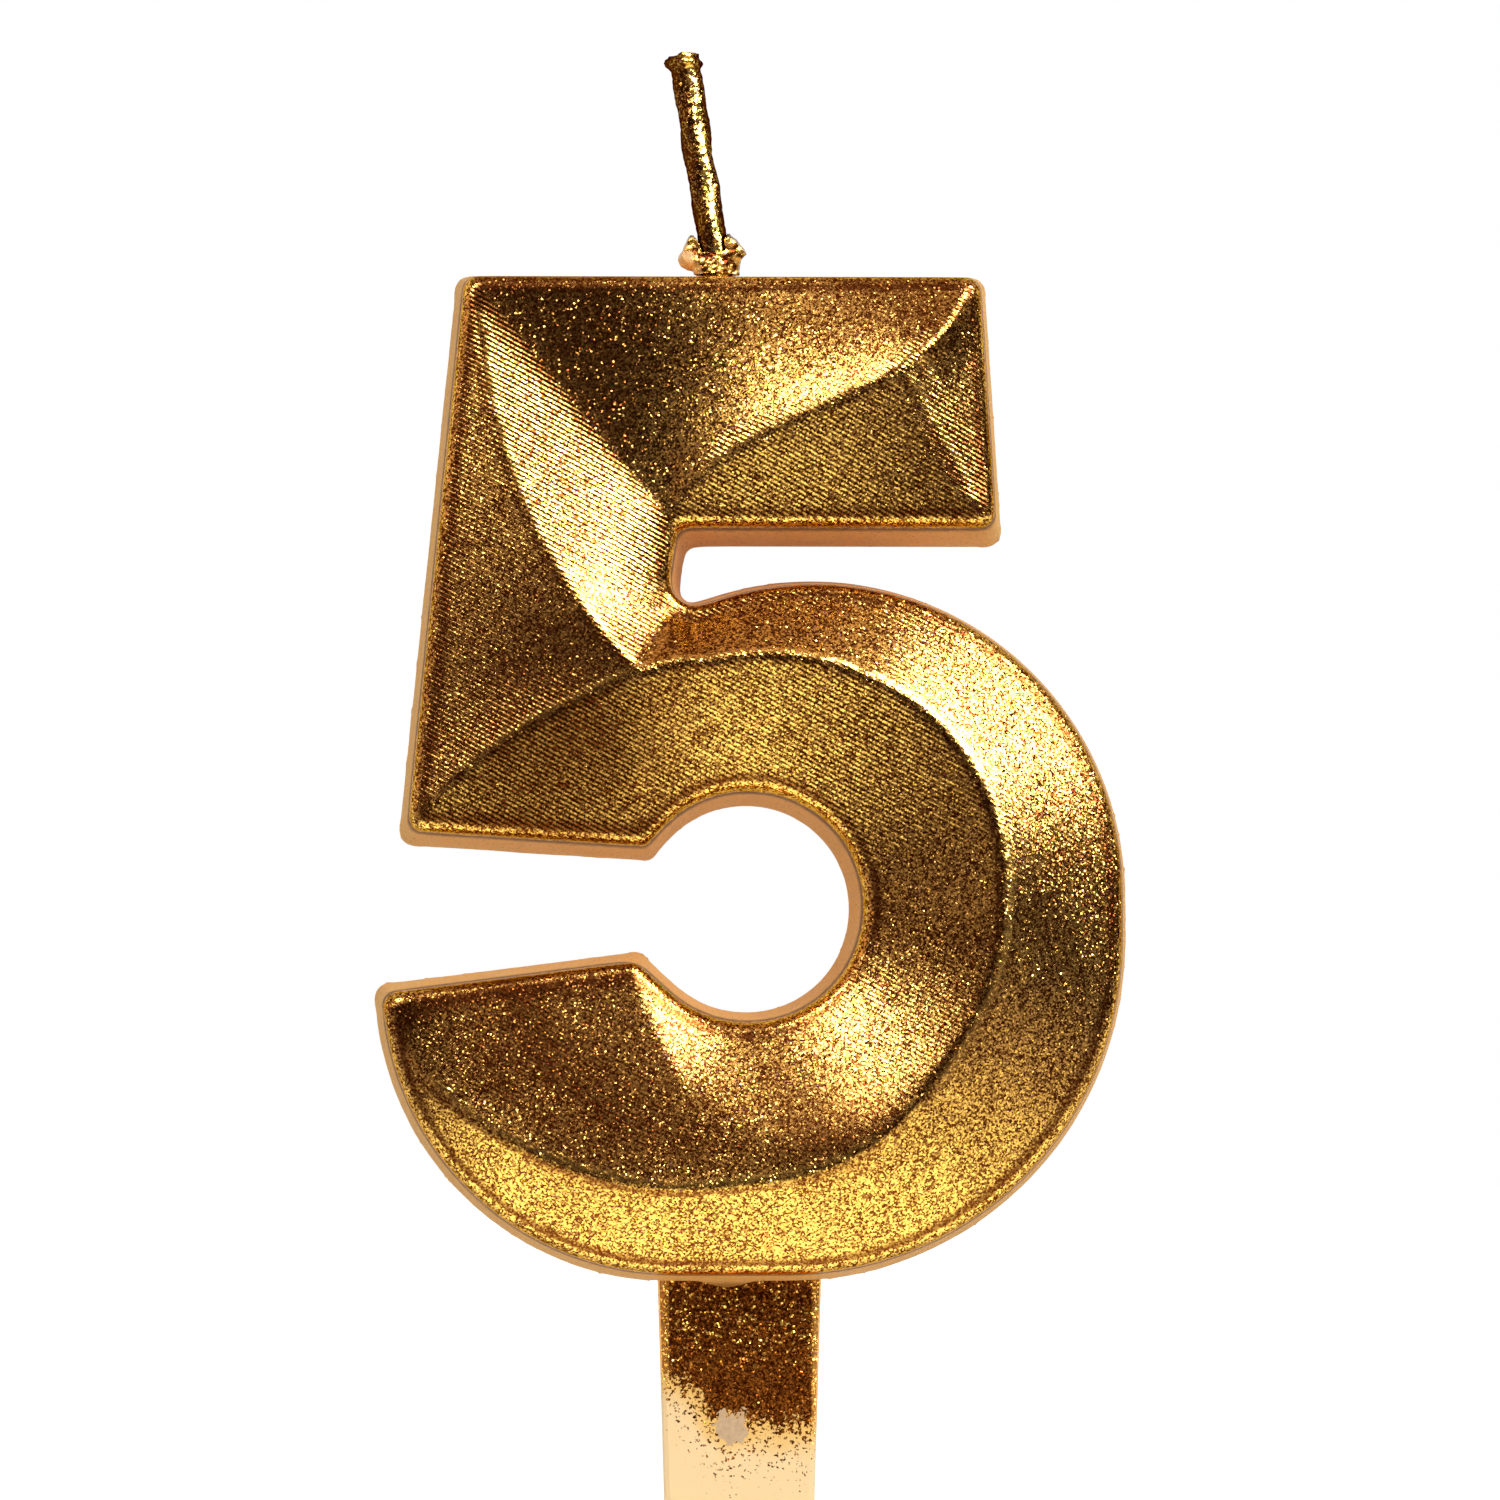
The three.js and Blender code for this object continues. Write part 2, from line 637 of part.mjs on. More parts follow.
function digitGeometry() {
  const skin = new Skin();
  // Side wall, rim and back edge
  for (let i = 0; i < levels.length - 1; i++) {
    const front = [...levels[i], levels[i][0]];
    const back = [...levels[i + 1], levels[i + 1][0]];
    const steps = front.map((_, k) => k);
    skin.strip(front, back, steps, steps);
  }
  // Flat back
  const backLoop = levels[levels.length - 1];
  const flat = backLoop.map((p) => new THREE.Vector2(p.x, p.z));
  for (const [a, b, c] of THREE.ShapeUtils.triangulateShape(flat, []))
    skin.triangle(backLoop[a], backLoop[c], backLoop[b]);
  // Bar: upper facet over the valley and the sweeping crease, end facet, lower facet
  const right = byDirection(0);
  const down = byDirection(-90);
  const left = byDirection(180);
  skin.facet(joined(valley, sweepCrease), run("top_left", "top_right"), right);
  skin.facet(joined(backwards(peakToTopRight), barHip), run("top_right", "bar_foot"), down);
  skin.facet(joined(backwards(barHip), backwards(sweepToPeak)), run("bar_foot", "slot_top"), left);
  // Stem: the leaf between ridge and valley, the left facet, and the facet over its foot
  const leafHeading = THREE.MathUtils.radToDeg(Math.atan2(peak.z - topLeft.z, peak.x - topLeft.x));
  skin.facet(leftRidge, joined(valley, run("slot_top", "slot_foot")), byDirection(leafHeading));
  skin.facet(joined(footHip, backwards(leftRidge)), run("stem_foot", "top_left"), byDirection(90));
  skin.facet(backwards(footHip), run("mouth_top", "stem_foot"), left);
  // Bowl: outer ring, terminal facet in two stretches, and the ring round the counter
  skin.facet(joined(ridgeStart, ridgeMiddle, ridgeLast), outerRun, byAngle(-1));
  skin.facet(backwards(ridgeLast), run("ridge_end", "mouth_foot"), byDirection(TERMINAL_TILT));
  skin.facet(backwards(ridgeMiddle), backwards(hip), byAngle(1));
  skin.facet(joined(backwards(hip), backwards(ridgeStart)), innerRun, byAngle(1));
  return skin.geometry();
}

// Joins and cuts
function solid(geometry) {
  const plain = geometry.index ? geometry.toNonIndexed() : geometry.clone();
  plain.deleteAttribute("normal");
  plain.deleteAttribute("uv");
  const merged = mergeVertices(plain, 1e-4);
  return new wasm.Manifold(
    new wasm.Mesh({
      numProp: 3,
      vertProperties: merged.attributes.position.array,
      triVerts: new Uint32Array(merged.index.array),
    }),
  );
}

function geometryOf(body) {
  const { vertProperties, triVerts } = body.getMesh();
  const geometry = new THREE.BufferGeometry();
  geometry.setAttribute("position", new THREE.BufferAttribute(vertProperties, 3));
  geometry.setIndex(new THREE.BufferAttribute(triVerts, 1));
  return geometry.toNonIndexed();
}

// The pick: a flat blade drawn in the front view, with its thickness along Y
const PICK_SWELL_SHARE = 0.75; // of the way from the point's half width to the shoulder's

function bladeShape(grow, holeRadius) {
  const halfTop = PICK_WIDTH / 2 + grow;
  const slope = tangent(PICK_TAPER / 2);
  const shoulder = PICK_LENGTH - PICK_POINT_LENGTH;
  const halfShoulder = halfTop - shoulder * slope;
  const halfPoint = PICK_POINT_WIDTH / 2 + grow;
  const halfSwell = halfPoint + (halfShoulder - halfPoint) * PICK_SWELL_SHARE;
  const top = TANG_LENGTH + grow;
  const shape = new THREE.Shape();
  shape.moveTo(-halfPoint, -PICK_LENGTH);
  shape.lineTo(halfPoint, -PICK_LENGTH);
  shape.quadraticCurveTo(halfSwell, -shoulder - PICK_SHOULDER_SWELL, halfShoulder, -shoulder);
  shape.lineTo(halfTop, 0);
  shape.lineTo(halfTop, top - TANG_TOP_CHAMFER);
  shape.lineTo(halfTop - TANG_TOP_CHAMFER, top);
  shape.lineTo(TANG_TOP_CHAMFER - halfTop, top);
  shape.lineTo(-halfTop, top - TANG_TOP_CHAMFER);
  shape.lineTo(-halfTop, 0);
  shape.lineTo(-halfShoulder, -shoulder);
  shape.quadraticCurveTo(-halfSwell, -shoulder - PICK_SHOULDER_SWELL, -halfPoint, -PICK_LENGTH);
  const hole = new THREE.Path();
  hole.absarc(0, TANG_LENGTH - KEY_HOLE_BELOW_TOP, holeRadius, 0, 2 * Math.PI, true);
  shape.holes.push(hole);
  return shape;
}

// An extrusion of a shape in the front view, centred on the parting plane
function slab(shape, thickness, rounding) {
  const geometry = new THREE.ExtrudeGeometry(shape, {
    depth: thickness - 2 * rounding,
    bevelEnabled: rounding > 0,
    bevelThickness: rounding,
    bevelSize: rounding,
    bevelOffset: -rounding,
    bevelSegments: 2,
    curveSegments: 8,
  });
  geometry.translate(0, 0, -thickness / 2 + rounding);
  geometry.rotateX(Math.PI / 2);
  return geometry;
}

// The lip: a low triangle of wax on the underside, just in front of the pick
function lipGeometry() {
  const front = PICK_THICKNESS / 2 + PICK_CLEARANCE;
  const halfWidth = PICK_WIDTH / 2 - LIP_MARGIN;
  const shape = new THREE.Shape();
  shape.moveTo(LIP_POINT_X - halfWidth, LIP_HEIGHT);
  shape.lineTo(LIP_POINT_X, -LIP_DEPTH);
  shape.lineTo(LIP_POINT_X + halfWidth, LIP_HEIGHT);
  const geometry = new THREE.ExtrudeGeometry(shape, {
    depth: LIP_THICKNESS,
    bevelEnabled: false,
  });
  geometry.rotateX(Math.PI / 2);
  return geometry.translate(0, -front, 0);
}

// The wick: its centre line stands upright inside the digit and leans over above it
const wickInside = BAR_DEPTH - BORE_FLOOR_THICKNESS;
const wickPoint = (height, lean) =>
  new THREE.Vector3(WICK_X + WICK_TIP_OFFSET * lean, 0, DIGIT_HEIGHT + height);
const wickPath = new THREE.CatmullRomCurve3([
  wickPoint(-wickInside, 0),
  wickPoint(-wickInside / 2, 0),
  wickPoint(0, 0),
  ...WICK_BEND_SHARES.map(([rise, lean]) => wickPoint(rise * WICK_LENGTH_ABOVE, lean)),
]);
const WICK_SIDES = 12;
const WICK_STEPS = 16;

function wickTube(diameter) {
  const section = new THREE.Shape();
  section.absarc(0, 0, diameter / 2, 0, 2 * Math.PI, false);
  return new THREE.ExtrudeGeometry(section, {
    extrudePath: wickPath,
    steps: WICK_STEPS,
    curveSegments: WICK_SIDES,
    bevelEnabled: false,
  });
}

function ball(x, y, z, width, depth, height) {
  const geometry = new THREE.SphereGeometry(0.5, 12, 8);
  geometry.rotateX(Math.PI / 2);
  geometry.scale(width, depth, height);
  return geometry.translate(x, y, z);
}

function wickGeometry() {
  const tip = wickPath.getPoint(1);
  const flareZ = tip.z - WICK_END_HEIGHT / 2;
  const flare = ball(tip.x, 0, flareZ, WICK_END_DIAMETER, WICK_END_DIAMETER, WICK_END_HEIGHT);
  return solid(wickTube(WICK_DIAMETER)).add(solid(flare));
}

// An upright cylinder round the wick's lower, straight stretch
function upright(topRadius, footRadius, foot, top) {
  const geometry = new THREE.CylinderGeometry(topRadius, footRadius, top - foot, WICK_SIDES + 2);
  geometry.rotateX(Math.PI / 2);
  return geometry.translate(WICK_X, 0, (top + foot) / 2);
}

// The seal: a neck of wax on the top edge that swells into lumps round the wick
function sealGeometry() {
  const foot = DIGIT_HEIGHT + SEAL_GAP;
  const hole = WICK_DIAMETER / 2 + SEAL_CLEARANCE;
  const wall = hole + SEAL_WALL;
  let seal = solid(upright(wall + SEAL_CLEARANCE, wall, foot, foot + SEAL_NECK_HEIGHT));
  for (const { side, beyond, y, rise, shape } of SEAL_LUMPS) {
    const x = WICK_X + side * (WICK_DIAMETER / 2) + side * beyond * SEAL_LUMP_DIAMETER;
    const size = shape.map((share) => share * SEAL_LUMP_DIAMETER);
    const centre = [x, y * SEAL_LUMP_DIAMETER, foot + rise * SEAL_LUMP_DIAMETER];
    seal = seal.add(solid(ball(...centre, ...size)));
  }
  return seal.subtract(solid(wickTube(2 * hole)));
}

// The digit, bored for the wick and pocketed for the tang
const holeRadius = KEY_HOLE_DIAMETER / 2;
const pocket = slab(
  bladeShape(PICK_CLEARANCE, holeRadius - PICK_CLEARANCE),
  PICK_THICKNESS + 2 * PICK_CLEARANCE,
  0,
);
const boreRadius = WICK_DIAMETER / 2 + WICK_CLEARANCE;
const boreFoot = DIGIT_HEIGHT - wickInside - WICK_CLEARANCE;
const bore = upright(boreRadius, boreRadius, boreFoot, DIGIT_HEIGHT + 1);
const digitBody = solid(digitGeometry())
  .add(solid(lipGeometry()))
  .subtract(solid(pocket))
  .subtract(solid(bore));
const pickBlade = slab(bladeShape(0, holeRadius), PICK_THICKNESS, PICK_EDGE_ROUNDING);

// Finishes
const goldWax = new THREE.MeshStandardMaterial({
  color: 0xb8862f,
  roughness: 0.35,
  metalness: 0.9,
});
const goldWick = new THREE.MeshStandardMaterial({
  color: 0xa87422,
  roughness: 0.3,
  metalness: 0.85,
});
const sealWax = new THREE.MeshStandardMaterial({
  color: 0xb27d3a,
  roughness: 0.4,
  metalness: 0.7,
});
const pickPlastic = new THREE.MeshStandardMaterial({
  color: 0xf3d9a8,
  roughness: 0.45,
  metalness: 0.1,
});

function piece(name, geometry, material) {
  geometry.computeVertexNormals();
  const mesh = new THREE.Mesh(geometry, material);
  mesh.name = name;
  return mesh;
}

const candle = new THREE.Group();
candle.add(piece("digit_body", geometryOf(digitBody), goldWax));
candle.add(piece("wick", geometryOf(wickGeometry()), goldWick));
candle.add(piece("wick_seal", geometryOf(sealGeometry()), sealWax));
candle.add(piece("cake_pick", geometryOf(solid(pickBlade)), pickPlastic));

export default candle;
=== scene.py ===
# %% [markdown]
# # A gold number candle
#
# This lesson dresses the solid model of a birthday candle in the shape of a 5. The solid
# model comes from a CAD program and gives every size. What it lacks is what the eye goes
# to first: the sparkle of gold lacquer, creases that are a little soft, the bare wax of
# the side walls, a lumpy wick and the ragged end of the coat on the plastic pick.
#
# Everything is in metres, so lengths in the text, which are in millimetres, are multiplied
# by MM. The faceted front looks towards -Y, the flat back towards +Y, and Z is up.

# %% The solid model
import math

import bmesh
import bpy
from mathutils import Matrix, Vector, geometry, kdtree, noise


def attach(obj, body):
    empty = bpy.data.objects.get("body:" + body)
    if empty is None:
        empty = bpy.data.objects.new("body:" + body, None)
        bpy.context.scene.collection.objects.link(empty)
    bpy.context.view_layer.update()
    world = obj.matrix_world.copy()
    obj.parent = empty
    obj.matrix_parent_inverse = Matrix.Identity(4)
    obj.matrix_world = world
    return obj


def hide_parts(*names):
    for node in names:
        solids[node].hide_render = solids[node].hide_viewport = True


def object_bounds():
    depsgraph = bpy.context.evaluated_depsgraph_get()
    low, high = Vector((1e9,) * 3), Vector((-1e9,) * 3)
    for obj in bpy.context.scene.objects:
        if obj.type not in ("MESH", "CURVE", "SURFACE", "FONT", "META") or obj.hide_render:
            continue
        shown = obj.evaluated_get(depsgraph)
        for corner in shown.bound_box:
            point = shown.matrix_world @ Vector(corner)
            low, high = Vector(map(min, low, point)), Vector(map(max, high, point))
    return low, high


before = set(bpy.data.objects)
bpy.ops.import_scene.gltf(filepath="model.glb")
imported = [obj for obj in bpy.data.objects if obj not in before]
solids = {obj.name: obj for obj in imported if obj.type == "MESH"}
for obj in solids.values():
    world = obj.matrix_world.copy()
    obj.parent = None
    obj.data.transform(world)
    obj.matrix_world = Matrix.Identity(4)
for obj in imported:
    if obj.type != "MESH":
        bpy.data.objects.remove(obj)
cad_low, cad_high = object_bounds()
MM = 0.001

# %% [markdown]
# # The camera
#
# A long lens, held nearly level, half a metre away. The depth of the candle's side walls
# tells how far: near the camera a box shows much of its sides, far away hardly any. Here
# the walls of the slot and of the counter are seen from straight in front of the left
# side, a little below the middle. A camera looks along its own -Z axis, and `to_track_quat`
# turns that axis to the direction that is asked for.

# %% Camera
camera_data = bpy.data.cameras.new("camera")
camera_data.sensor_width = 36
camera_data.lens = 162.5
camera_data.clip_end = 20
camera = bpy.data.objects.new("camera", camera_data)
bpy.context.scene.collection.objects.link(camera)
bpy.context.scene.camera = camera
camera.location = Vector((-10.1, -470.1, 14.6)) * MM
look = Vector((0.02304, 0.99861, 0.0475))
camera.rotation_euler = look.to_track_quat("-Z", "Y").to_euler()
print("camera to candle", round(-camera.location.y / MM), "mm")

# %% [markdown]
# # A small language for materials
#
# A material is a graph of nodes, and sums in it are Math nodes. Wired one by one they are
# hard to read. The first class wraps the output of a node, so that `a * 2 + b` in Python
# adds the Math nodes for it. The reflected forms, such as `__rsub__`, make `1 - a` work as
# well. A mask is a number between 0 and 1, and `rises` and `falls` make one.

# %% Shader maths
class Wire:
    """The output of a node, on which Python's sums work."""

    def __init__(self, paint, socket):
        self.paint = paint
        self.socket = socket

    def maths(self, operation, *values, clamp=False):
        settings = {"operation": operation, "use_clamp": clamp}
        return self.paint.node("ShaderNodeMath", settings, dict(enumerate(values)))

    def __add__(self, other):
        return self.maths("ADD", self, other)

    __radd__ = __add__

    def __sub__(self, other):
        return self.maths("SUBTRACT", self, other)

    def __rsub__(self, other):
        return self.maths("SUBTRACT", other, self)

    def __mul__(self, other):
        return self.maths("MULTIPLY", self, other)

    __rmul__ = __mul__

    def __truediv__(self, other):
        return self.maths("DIVIDE", self, other)

    def most(self, other):
        return self.maths("MAXIMUM", self, other)

    def least(self, other):
        return self.maths("MINIMUM", self, other)

    def size(self):
        return self.maths("ABSOLUTE", self)

    def sine(self):
        return self.maths("SINE", self)

    def root(self):
        return self.maths("SQRT", self)

    def rises(self, start, end):
        """0 up to start, 1 from end on, and a soft step between them."""
        settings = {"interpolation_type": "SMOOTHSTEP"}
        values = {"Value": self, "From Min": start, "From Max": end}
        return self.paint.node("ShaderNodeMapRange", settings, values)

    def falls(self, start, end):
        return 1 - self.rises(start, end)


# %% [markdown]
# The second class is the graph itself. Its method `node` adds any node, and the other
# methods build on it: noises and flakes with sizes in mm, mixes of colours, and reliefs.
# Every pattern reads Object coordinates, so it stays in its place on the candle from
# whichever side that is seen.

# %% Node graphs
class Paint:
    """The node graph of a material or of the world."""

    def __init__(self, owner):
        owner.use_nodes = True
        self.owner = owner
        self.tree = owner.node_tree
        self.tree.nodes.clear()

    def node(self, kind, settings, values, output=0):
        """Adds a node: its settings first, then values or wires for its sockets."""
        made = self.tree.nodes.new(kind)
        for key, value in settings.items():
            setattr(made, key, value)
        for key, value in values.items():
            if isinstance(value, Wire):
                self.tree.links.new(value.socket, made.inputs[key])
            else:
                made.inputs[key].default_value = value
        return Wire(self, made.outputs[output])

    def finish_with(self, shader, kind="ShaderNodeOutputMaterial"):
        """Adds the output node, which shows the shader."""
        out = self.tree.nodes.new(kind)
        self.tree.links.new(shader.socket, out.inputs["Surface"])

    def axes(self):
        """The place on the object along X, Y and Z, in mm."""
        place = self.node("ShaderNodeTexCoord", {}, {}, "Object")
        names = ("X", "Y", "Z")
        split = [self.node("ShaderNodeSeparateXYZ", {}, {0: place}, n) for n in names]
        return [along / MM for along in split]

    def glow_to(self, kinds):
        """1 for the kinds of ray that are named, 0 for the others."""
        rays = [self.node("ShaderNodeLightPath", {}, {}, kind) for kind in kinds]
        total = rays[0]
        for other in rays[1:]:
            total = total.most(other)
        return total

    def grain(self, size, detail=2.0, roughness=0.5, shift=0.0):
        """A noise between 0 and 1 whose grains are about size wide, in mm."""
        place = self.node("ShaderNodeTexCoord", {}, {}, "Object")
        moved = self.vectors("ADD", place, (shift, shift, shift))
        values = {
            "Vector": moved,
            "Scale": 1 / (size * MM),
            "Detail": detail,
            "Roughness": roughness,
        }
        return self.node("ShaderNodeTexNoise", {}, values)

    def blend(self, share, first, second):
        """A mix of two colours: the first where the share is 0, the second where it is 1."""
        colours = [c if isinstance(c, Wire) else (*c, 1) for c in (first, second)]
        values = {"Factor": share, 6: colours[0], 7: colours[1]}
        return self.node("ShaderNodeMix", {"data_type": "RGBA"}, values, 2)

    def vectors(self, operation, *values, output=0):
        settings = {"operation": operation}
        return self.node("ShaderNodeVectorMath", settings, dict(enumerate(values)), output)

    def flakes(self, size, tilt):
        """A normal that differs from flake to flake, each about size wide, in mm."""
        place = self.node("ShaderNodeTexCoord", {}, {}, "Object")
        cells = {"Vector": place, "Scale": 1 / (size * MM)}
        chance = self.node("ShaderNodeTexVoronoi", {}, cells, "Color")
        lean = self.vectors("SUBTRACT", chance, (0.5, 0.5, 0.5))
        reach = self.vectors("DOT_PRODUCT", lean, lean, output="Value")
        reach = reach * reach * tilt
        scaled = self.node(
            "ShaderNodeVectorMath",
            {"operation": "SCALE"},
            {0: lean, "Scale": reach},
        )
        straight = self.node("ShaderNodeNewGeometry", {}, {}, "Normal")
        return self.vectors("NORMALIZE", self.vectors("ADD", straight, scaled))

    def speckle(self, size, shift=0.0):
        """A chance between 0 and 1 for each small cell, about size wide, in mm."""
        place = self.node("ShaderNodeTexCoord", {}, {}, "Object")
        moved = self.vectors("ADD", place, (shift, shift, shift))
        cells = {"Vector": moved, "Scale": 1 / (size * MM)}
        chance = self.node("ShaderNodeTexVoronoi", {}, cells, "Color")
        return self.node("ShaderNodeSeparateXYZ", {}, {0: chance}, "X")

    def relief(self, height, normal):
        """A Bump node that tilts a normal by a height in mm."""
        values = {"Strength": 1.0, "Distance": MM, "Height": height, "Normal": normal}
        return self.node("ShaderNodeBump", {}, values)


ALL_THAT_SHOW = ("Is Camera Ray", "Is Glossy Ray", "Is Transmission Ray")

# %% [markdown]
# # The studio
#
# Metal has no colour of its own in shade: it shows what is round it. So the studio is
# built for its reflections first. Soft boxes stand in front of the candle, at the upper
# right and at the upper left, and facets that lean towards them shine. The facets that
# face the camera show a dark screen, and those that lean down show a cloth on the floor.
# Boxes, screen and cloth are hidden from the camera, which sees only white behind the
# candle.
#
# The world has two strengths. Camera, glossy and transmission rays see plain white, and
# the other rays, which light the wax, see a dimmer white.

# %% World
scene = bpy.context.scene
scene.view_settings.view_transform = "Standard"
WORLD_LIGHT = 0.5
world = bpy.data.worlds.new("studio")
scene.world = world
sky = Paint(world)
strength = WORLD_LIGHT + sky.glow_to(ALL_THAT_SHOW) * (1 - WORLD_LIGHT)
white = {"Color": (1, 1, 1, 1), "Strength": strength}
sky.finish_with(sky.node("ShaderNodeBackground", {}, white), "ShaderNodeOutputWorld")
print("nodes in the world:", len(sky.tree.nodes))

# %% [markdown]
# Each soft box is a pair of lamps at almost the same place. The first of a pair lights
# everything, at a plain level. Diffuse rays can't see the second one, so it leaves the wax
# as it is and only makes the reflections in metal stronger. That is what lets gold glint
# nearly white while the wax beside it keeps its colour. Distances and sides are in metres,
# and the power of a lamp follows from its area, so a larger box isn't a brighter one.

# %% Soft boxes
CANDLE_MIDDLE = Vector((0, 0, 35)) * MM


def direction(azimuth, elevation):
    """From the candle, in degrees: azimuth 0 is towards the camera, 90 to the right."""
    turn = math.radians(azimuth)
    rise = math.radians(elevation)
    level = math.cos(rise)
    return Vector((math.sin(turn) * level, -math.cos(turn) * level, math.sin(rise)))


def soft_box(name, azimuth, elevation, distance, wide, high, shine, on_wax):
    """A rectangle of light that shows in metal as shine times white."""
    data = bpy.data.lights.new(name, "AREA")
    data.shape = "RECTANGLE"
    data.size = wide
    data.size_y = high
    data.energy = shine * math.pi * wide * high
    lamp = bpy.data.objects.new(name, data)
    way = direction(azimuth, elevation)
    lamp.location = CANDLE_MIDDLE + way * distance
    lamp.rotation_euler = way.to_track_quat("Z", "Y").to_euler()
    lamp.visible_camera = False
    lamp.visible_diffuse = on_wax
    bpy.context.scene.collection.objects.link(lamp)
    print(name, "has", round(data.energy, 2), "watts")


RIGHT = {"azimuth": 39, "elevation": 31}
LEFT = {"azimuth": -31, "elevation": 38}
FOR_ALL = {"distance": 1.1, "on_wax": True}
FOR_METAL = {"distance": 1.09, "on_wax": False}
soft_box("box_right", wide=0.76, high=0.64, shine=4.5, **RIGHT, **FOR_ALL)
soft_box("box_right_for_metal", wide=0.64, high=0.54, shine=17, **RIGHT, **FOR_METAL)
soft_box("box_left", wide=0.4, high=0.5, shine=3.5, **LEFT, **FOR_ALL)
soft_box("box_left_for_metal", wide=0.3, high=0.38, shine=11, **LEFT, **FOR_METAL)

# %% [markdown]
# The screen is part of a large ball round the candle, cut off at the floor and open at the
# back. It is only there for glossy rays, so it darkens reflections, casts no shadow and
# takes no light from the wax.

# %% Dark screen
SCREEN_RADIUS = 1.4
SCREEN_BACK = 300 * MM


def hide_from_all_but_glossy(thing):
    """Leaves a thing of the studio in reflections alone."""
    thing.visible_camera = False
    thing.visible_diffuse = False
    thing.visible_shadow = False
    thing.visible_transmission = False


work = bmesh.new()
bmesh.ops.create_uvsphere(work, u_segments=64, v_segments=32, radius=SCREEN_RADIUS)
below = {"plane_co": (0, 0, cad_low.z - CANDLE_MIDDLE.z), "plane_no": (0, 0, -1)}
behind = {"plane_co": (0, SCREEN_BACK, 0), "plane_no": (0, 1, 0)}
for cut in (below, behind):
    everything = [*work.verts, *work.edges, *work.faces]
    bmesh.ops.bisect_plane(work, geom=everything, clear_outer=True, **cut)
bmesh.ops.translate(work, vec=CANDLE_MIDDLE, verts=work.verts)
screen_mesh = bpy.data.meshes.new("dark_screen")
work.to_mesh(screen_mesh)
work.free()
screen = bpy.data.objects.new("dark_screen", screen_mesh)
scene.collection.objects.link(screen)
hide_from_all_but_glossy(screen)
print("screen has", len(screen_mesh.polygons), "faces")

# %% [markdown]
# The screen glows by itself, so no lamp can change what it shows. It is darkest in front
# and grows lighter upwards and to the left, as a dark room with a pale ceiling and a window
# would. Its light is a warm rose, because gold that only has a grey room to show turns
# olive. Places on it are given as shares of its radius.

# %% What the screen shows
ROOM_GLOW = 0.05
CEILING_GLOW = 0.5
LEFT_WALL_GLOW = 0.12
WINDOW_GLOW = 0.5
ROOM_COLOUR = (1, 0.58, 0.42, 1)
screen_paint = Paint(bpy.data.materials.new("screen_glow"))
side, _, rise = screen_paint.axes()
side = side * (MM / SCREEN_RADIUS)
rise = (rise - CANDLE_MIDDLE.z / MM) * (MM / SCREEN_RADIUS)
grey = ROOM_GLOW + rise.rises(0.2, 0.5) * CEILING_GLOW
grey = grey + side.falls(-0.65, -0.3) * LEFT_WALL_GLOW
grey = grey + side.falls(-0.9, -0.75) * WINDOW_GLOW
warm = {"Color": ROOM_COLOUR, "Strength": grey}
screen_glow = screen_paint.node("ShaderNodeEmission", {}, warm)
screen_paint.finish_with(screen_glow)
screen_mesh.materials.append(screen_paint.owner)
print("nodes in the screen's material:", len(screen_paint.tree.nodes))

# %% [markdown]
# The floor is matt, so that it keeps the candle's shadow, and an Emission lifts it to
# white: a little less near the candle, where the shadow lies, than far away.

# %% Floor
FLOOR_LIFT = 0.45
FAR_FLOOR_LIFT = 0.3


def plain_sheet(name, wide, deep, place):
    """A flat level rectangle with its middle at place."""
    work = bmesh.new()
    bmesh.ops.create_grid(work, x_segments=1, y_segments=1, size=0.5)
    bmesh.ops.scale(work, vec=(wide, deep, 1), verts=work.verts)
    bmesh.ops.translate(work, vec=place, verts=work.verts)
    data = bpy.data.meshes.new(name)
    work.to_mesh(data)
    work.free()
    sheet = bpy.data.objects.new(name, data)
    bpy.context.scene.collection.objects.link(sheet)
    return sheet


FLOOR_Z = cad_low.z - 0.5 * MM
floor = plain_sheet("floor", 6, 6, (0, 0, FLOOR_Z))
floor_paint = Paint(bpy.data.materials.new("floor_white"))
matt = floor_paint.node("ShaderNodeBsdfDiffuse", {}, {"Color": (0.8, 0.8, 0.8, 1)})
floor_x, floor_y, _ = floor_paint.axes()
far = (floor_x * floor_x + floor_y * floor_y).root().rises(300, 700)
glow = floor_paint.glow_to(["Is Camera Ray"]) * far * FAR_FLOOR_LIFT
glow = glow + floor_paint.glow_to(ALL_THAT_SHOW) * FLOOR_LIFT
lift = floor_paint.node("ShaderNodeEmission", {}, {"Strength": glow})
floor_paint.finish_with(floor_paint.node("ShaderNodeAddShader", {}, {0: matt, 1: lift}))
floor.data.materials.append(floor_paint.owner)
print("floor at", round(FLOOR_Z / MM, 1), "mm")

# %% [markdown]
# In front of the candle lies a cloth that only glossy rays see. It is pale close to the
# candle, and that bright patch is what the lower bowl shows. Further away it is dark, with
# a haze at the left and at the right, where the stem and the flank of the bowl look.

# %% Graded cloth
CLOTH_DARK = 0.08
CLOTH_PALE = 2.5
LEFT_HAZE = 0.35
RIGHT_HAZE = 0.3
HAZE_COLOUR = (1, 0.7, 0.7)
PATCH_COLOUR = (1, 0.95, 0.7)
cloth = plain_sheet("graded_cloth", 2.6, 1.26, (0, -0.643, cad_low.z))
hide_from_all_but_glossy(cloth)
cloth_paint = Paint(bpy.data.materials.new("cloth_glow"))
to_right, to_back, _ = cloth_paint.axes()
distance = (to_right * to_right + to_back * to_back).root()
near = distance.falls(60, 130) * 0.5 + distance.falls(90, 230) * 0.5
near = near * (0.4 + to_right.rises(-220, -40) * 0.6)
away = 1 - near
at_left = to_right.falls(-300, -120)
at_right = to_right.rises(20, 120) * distance.falls(250, 450)
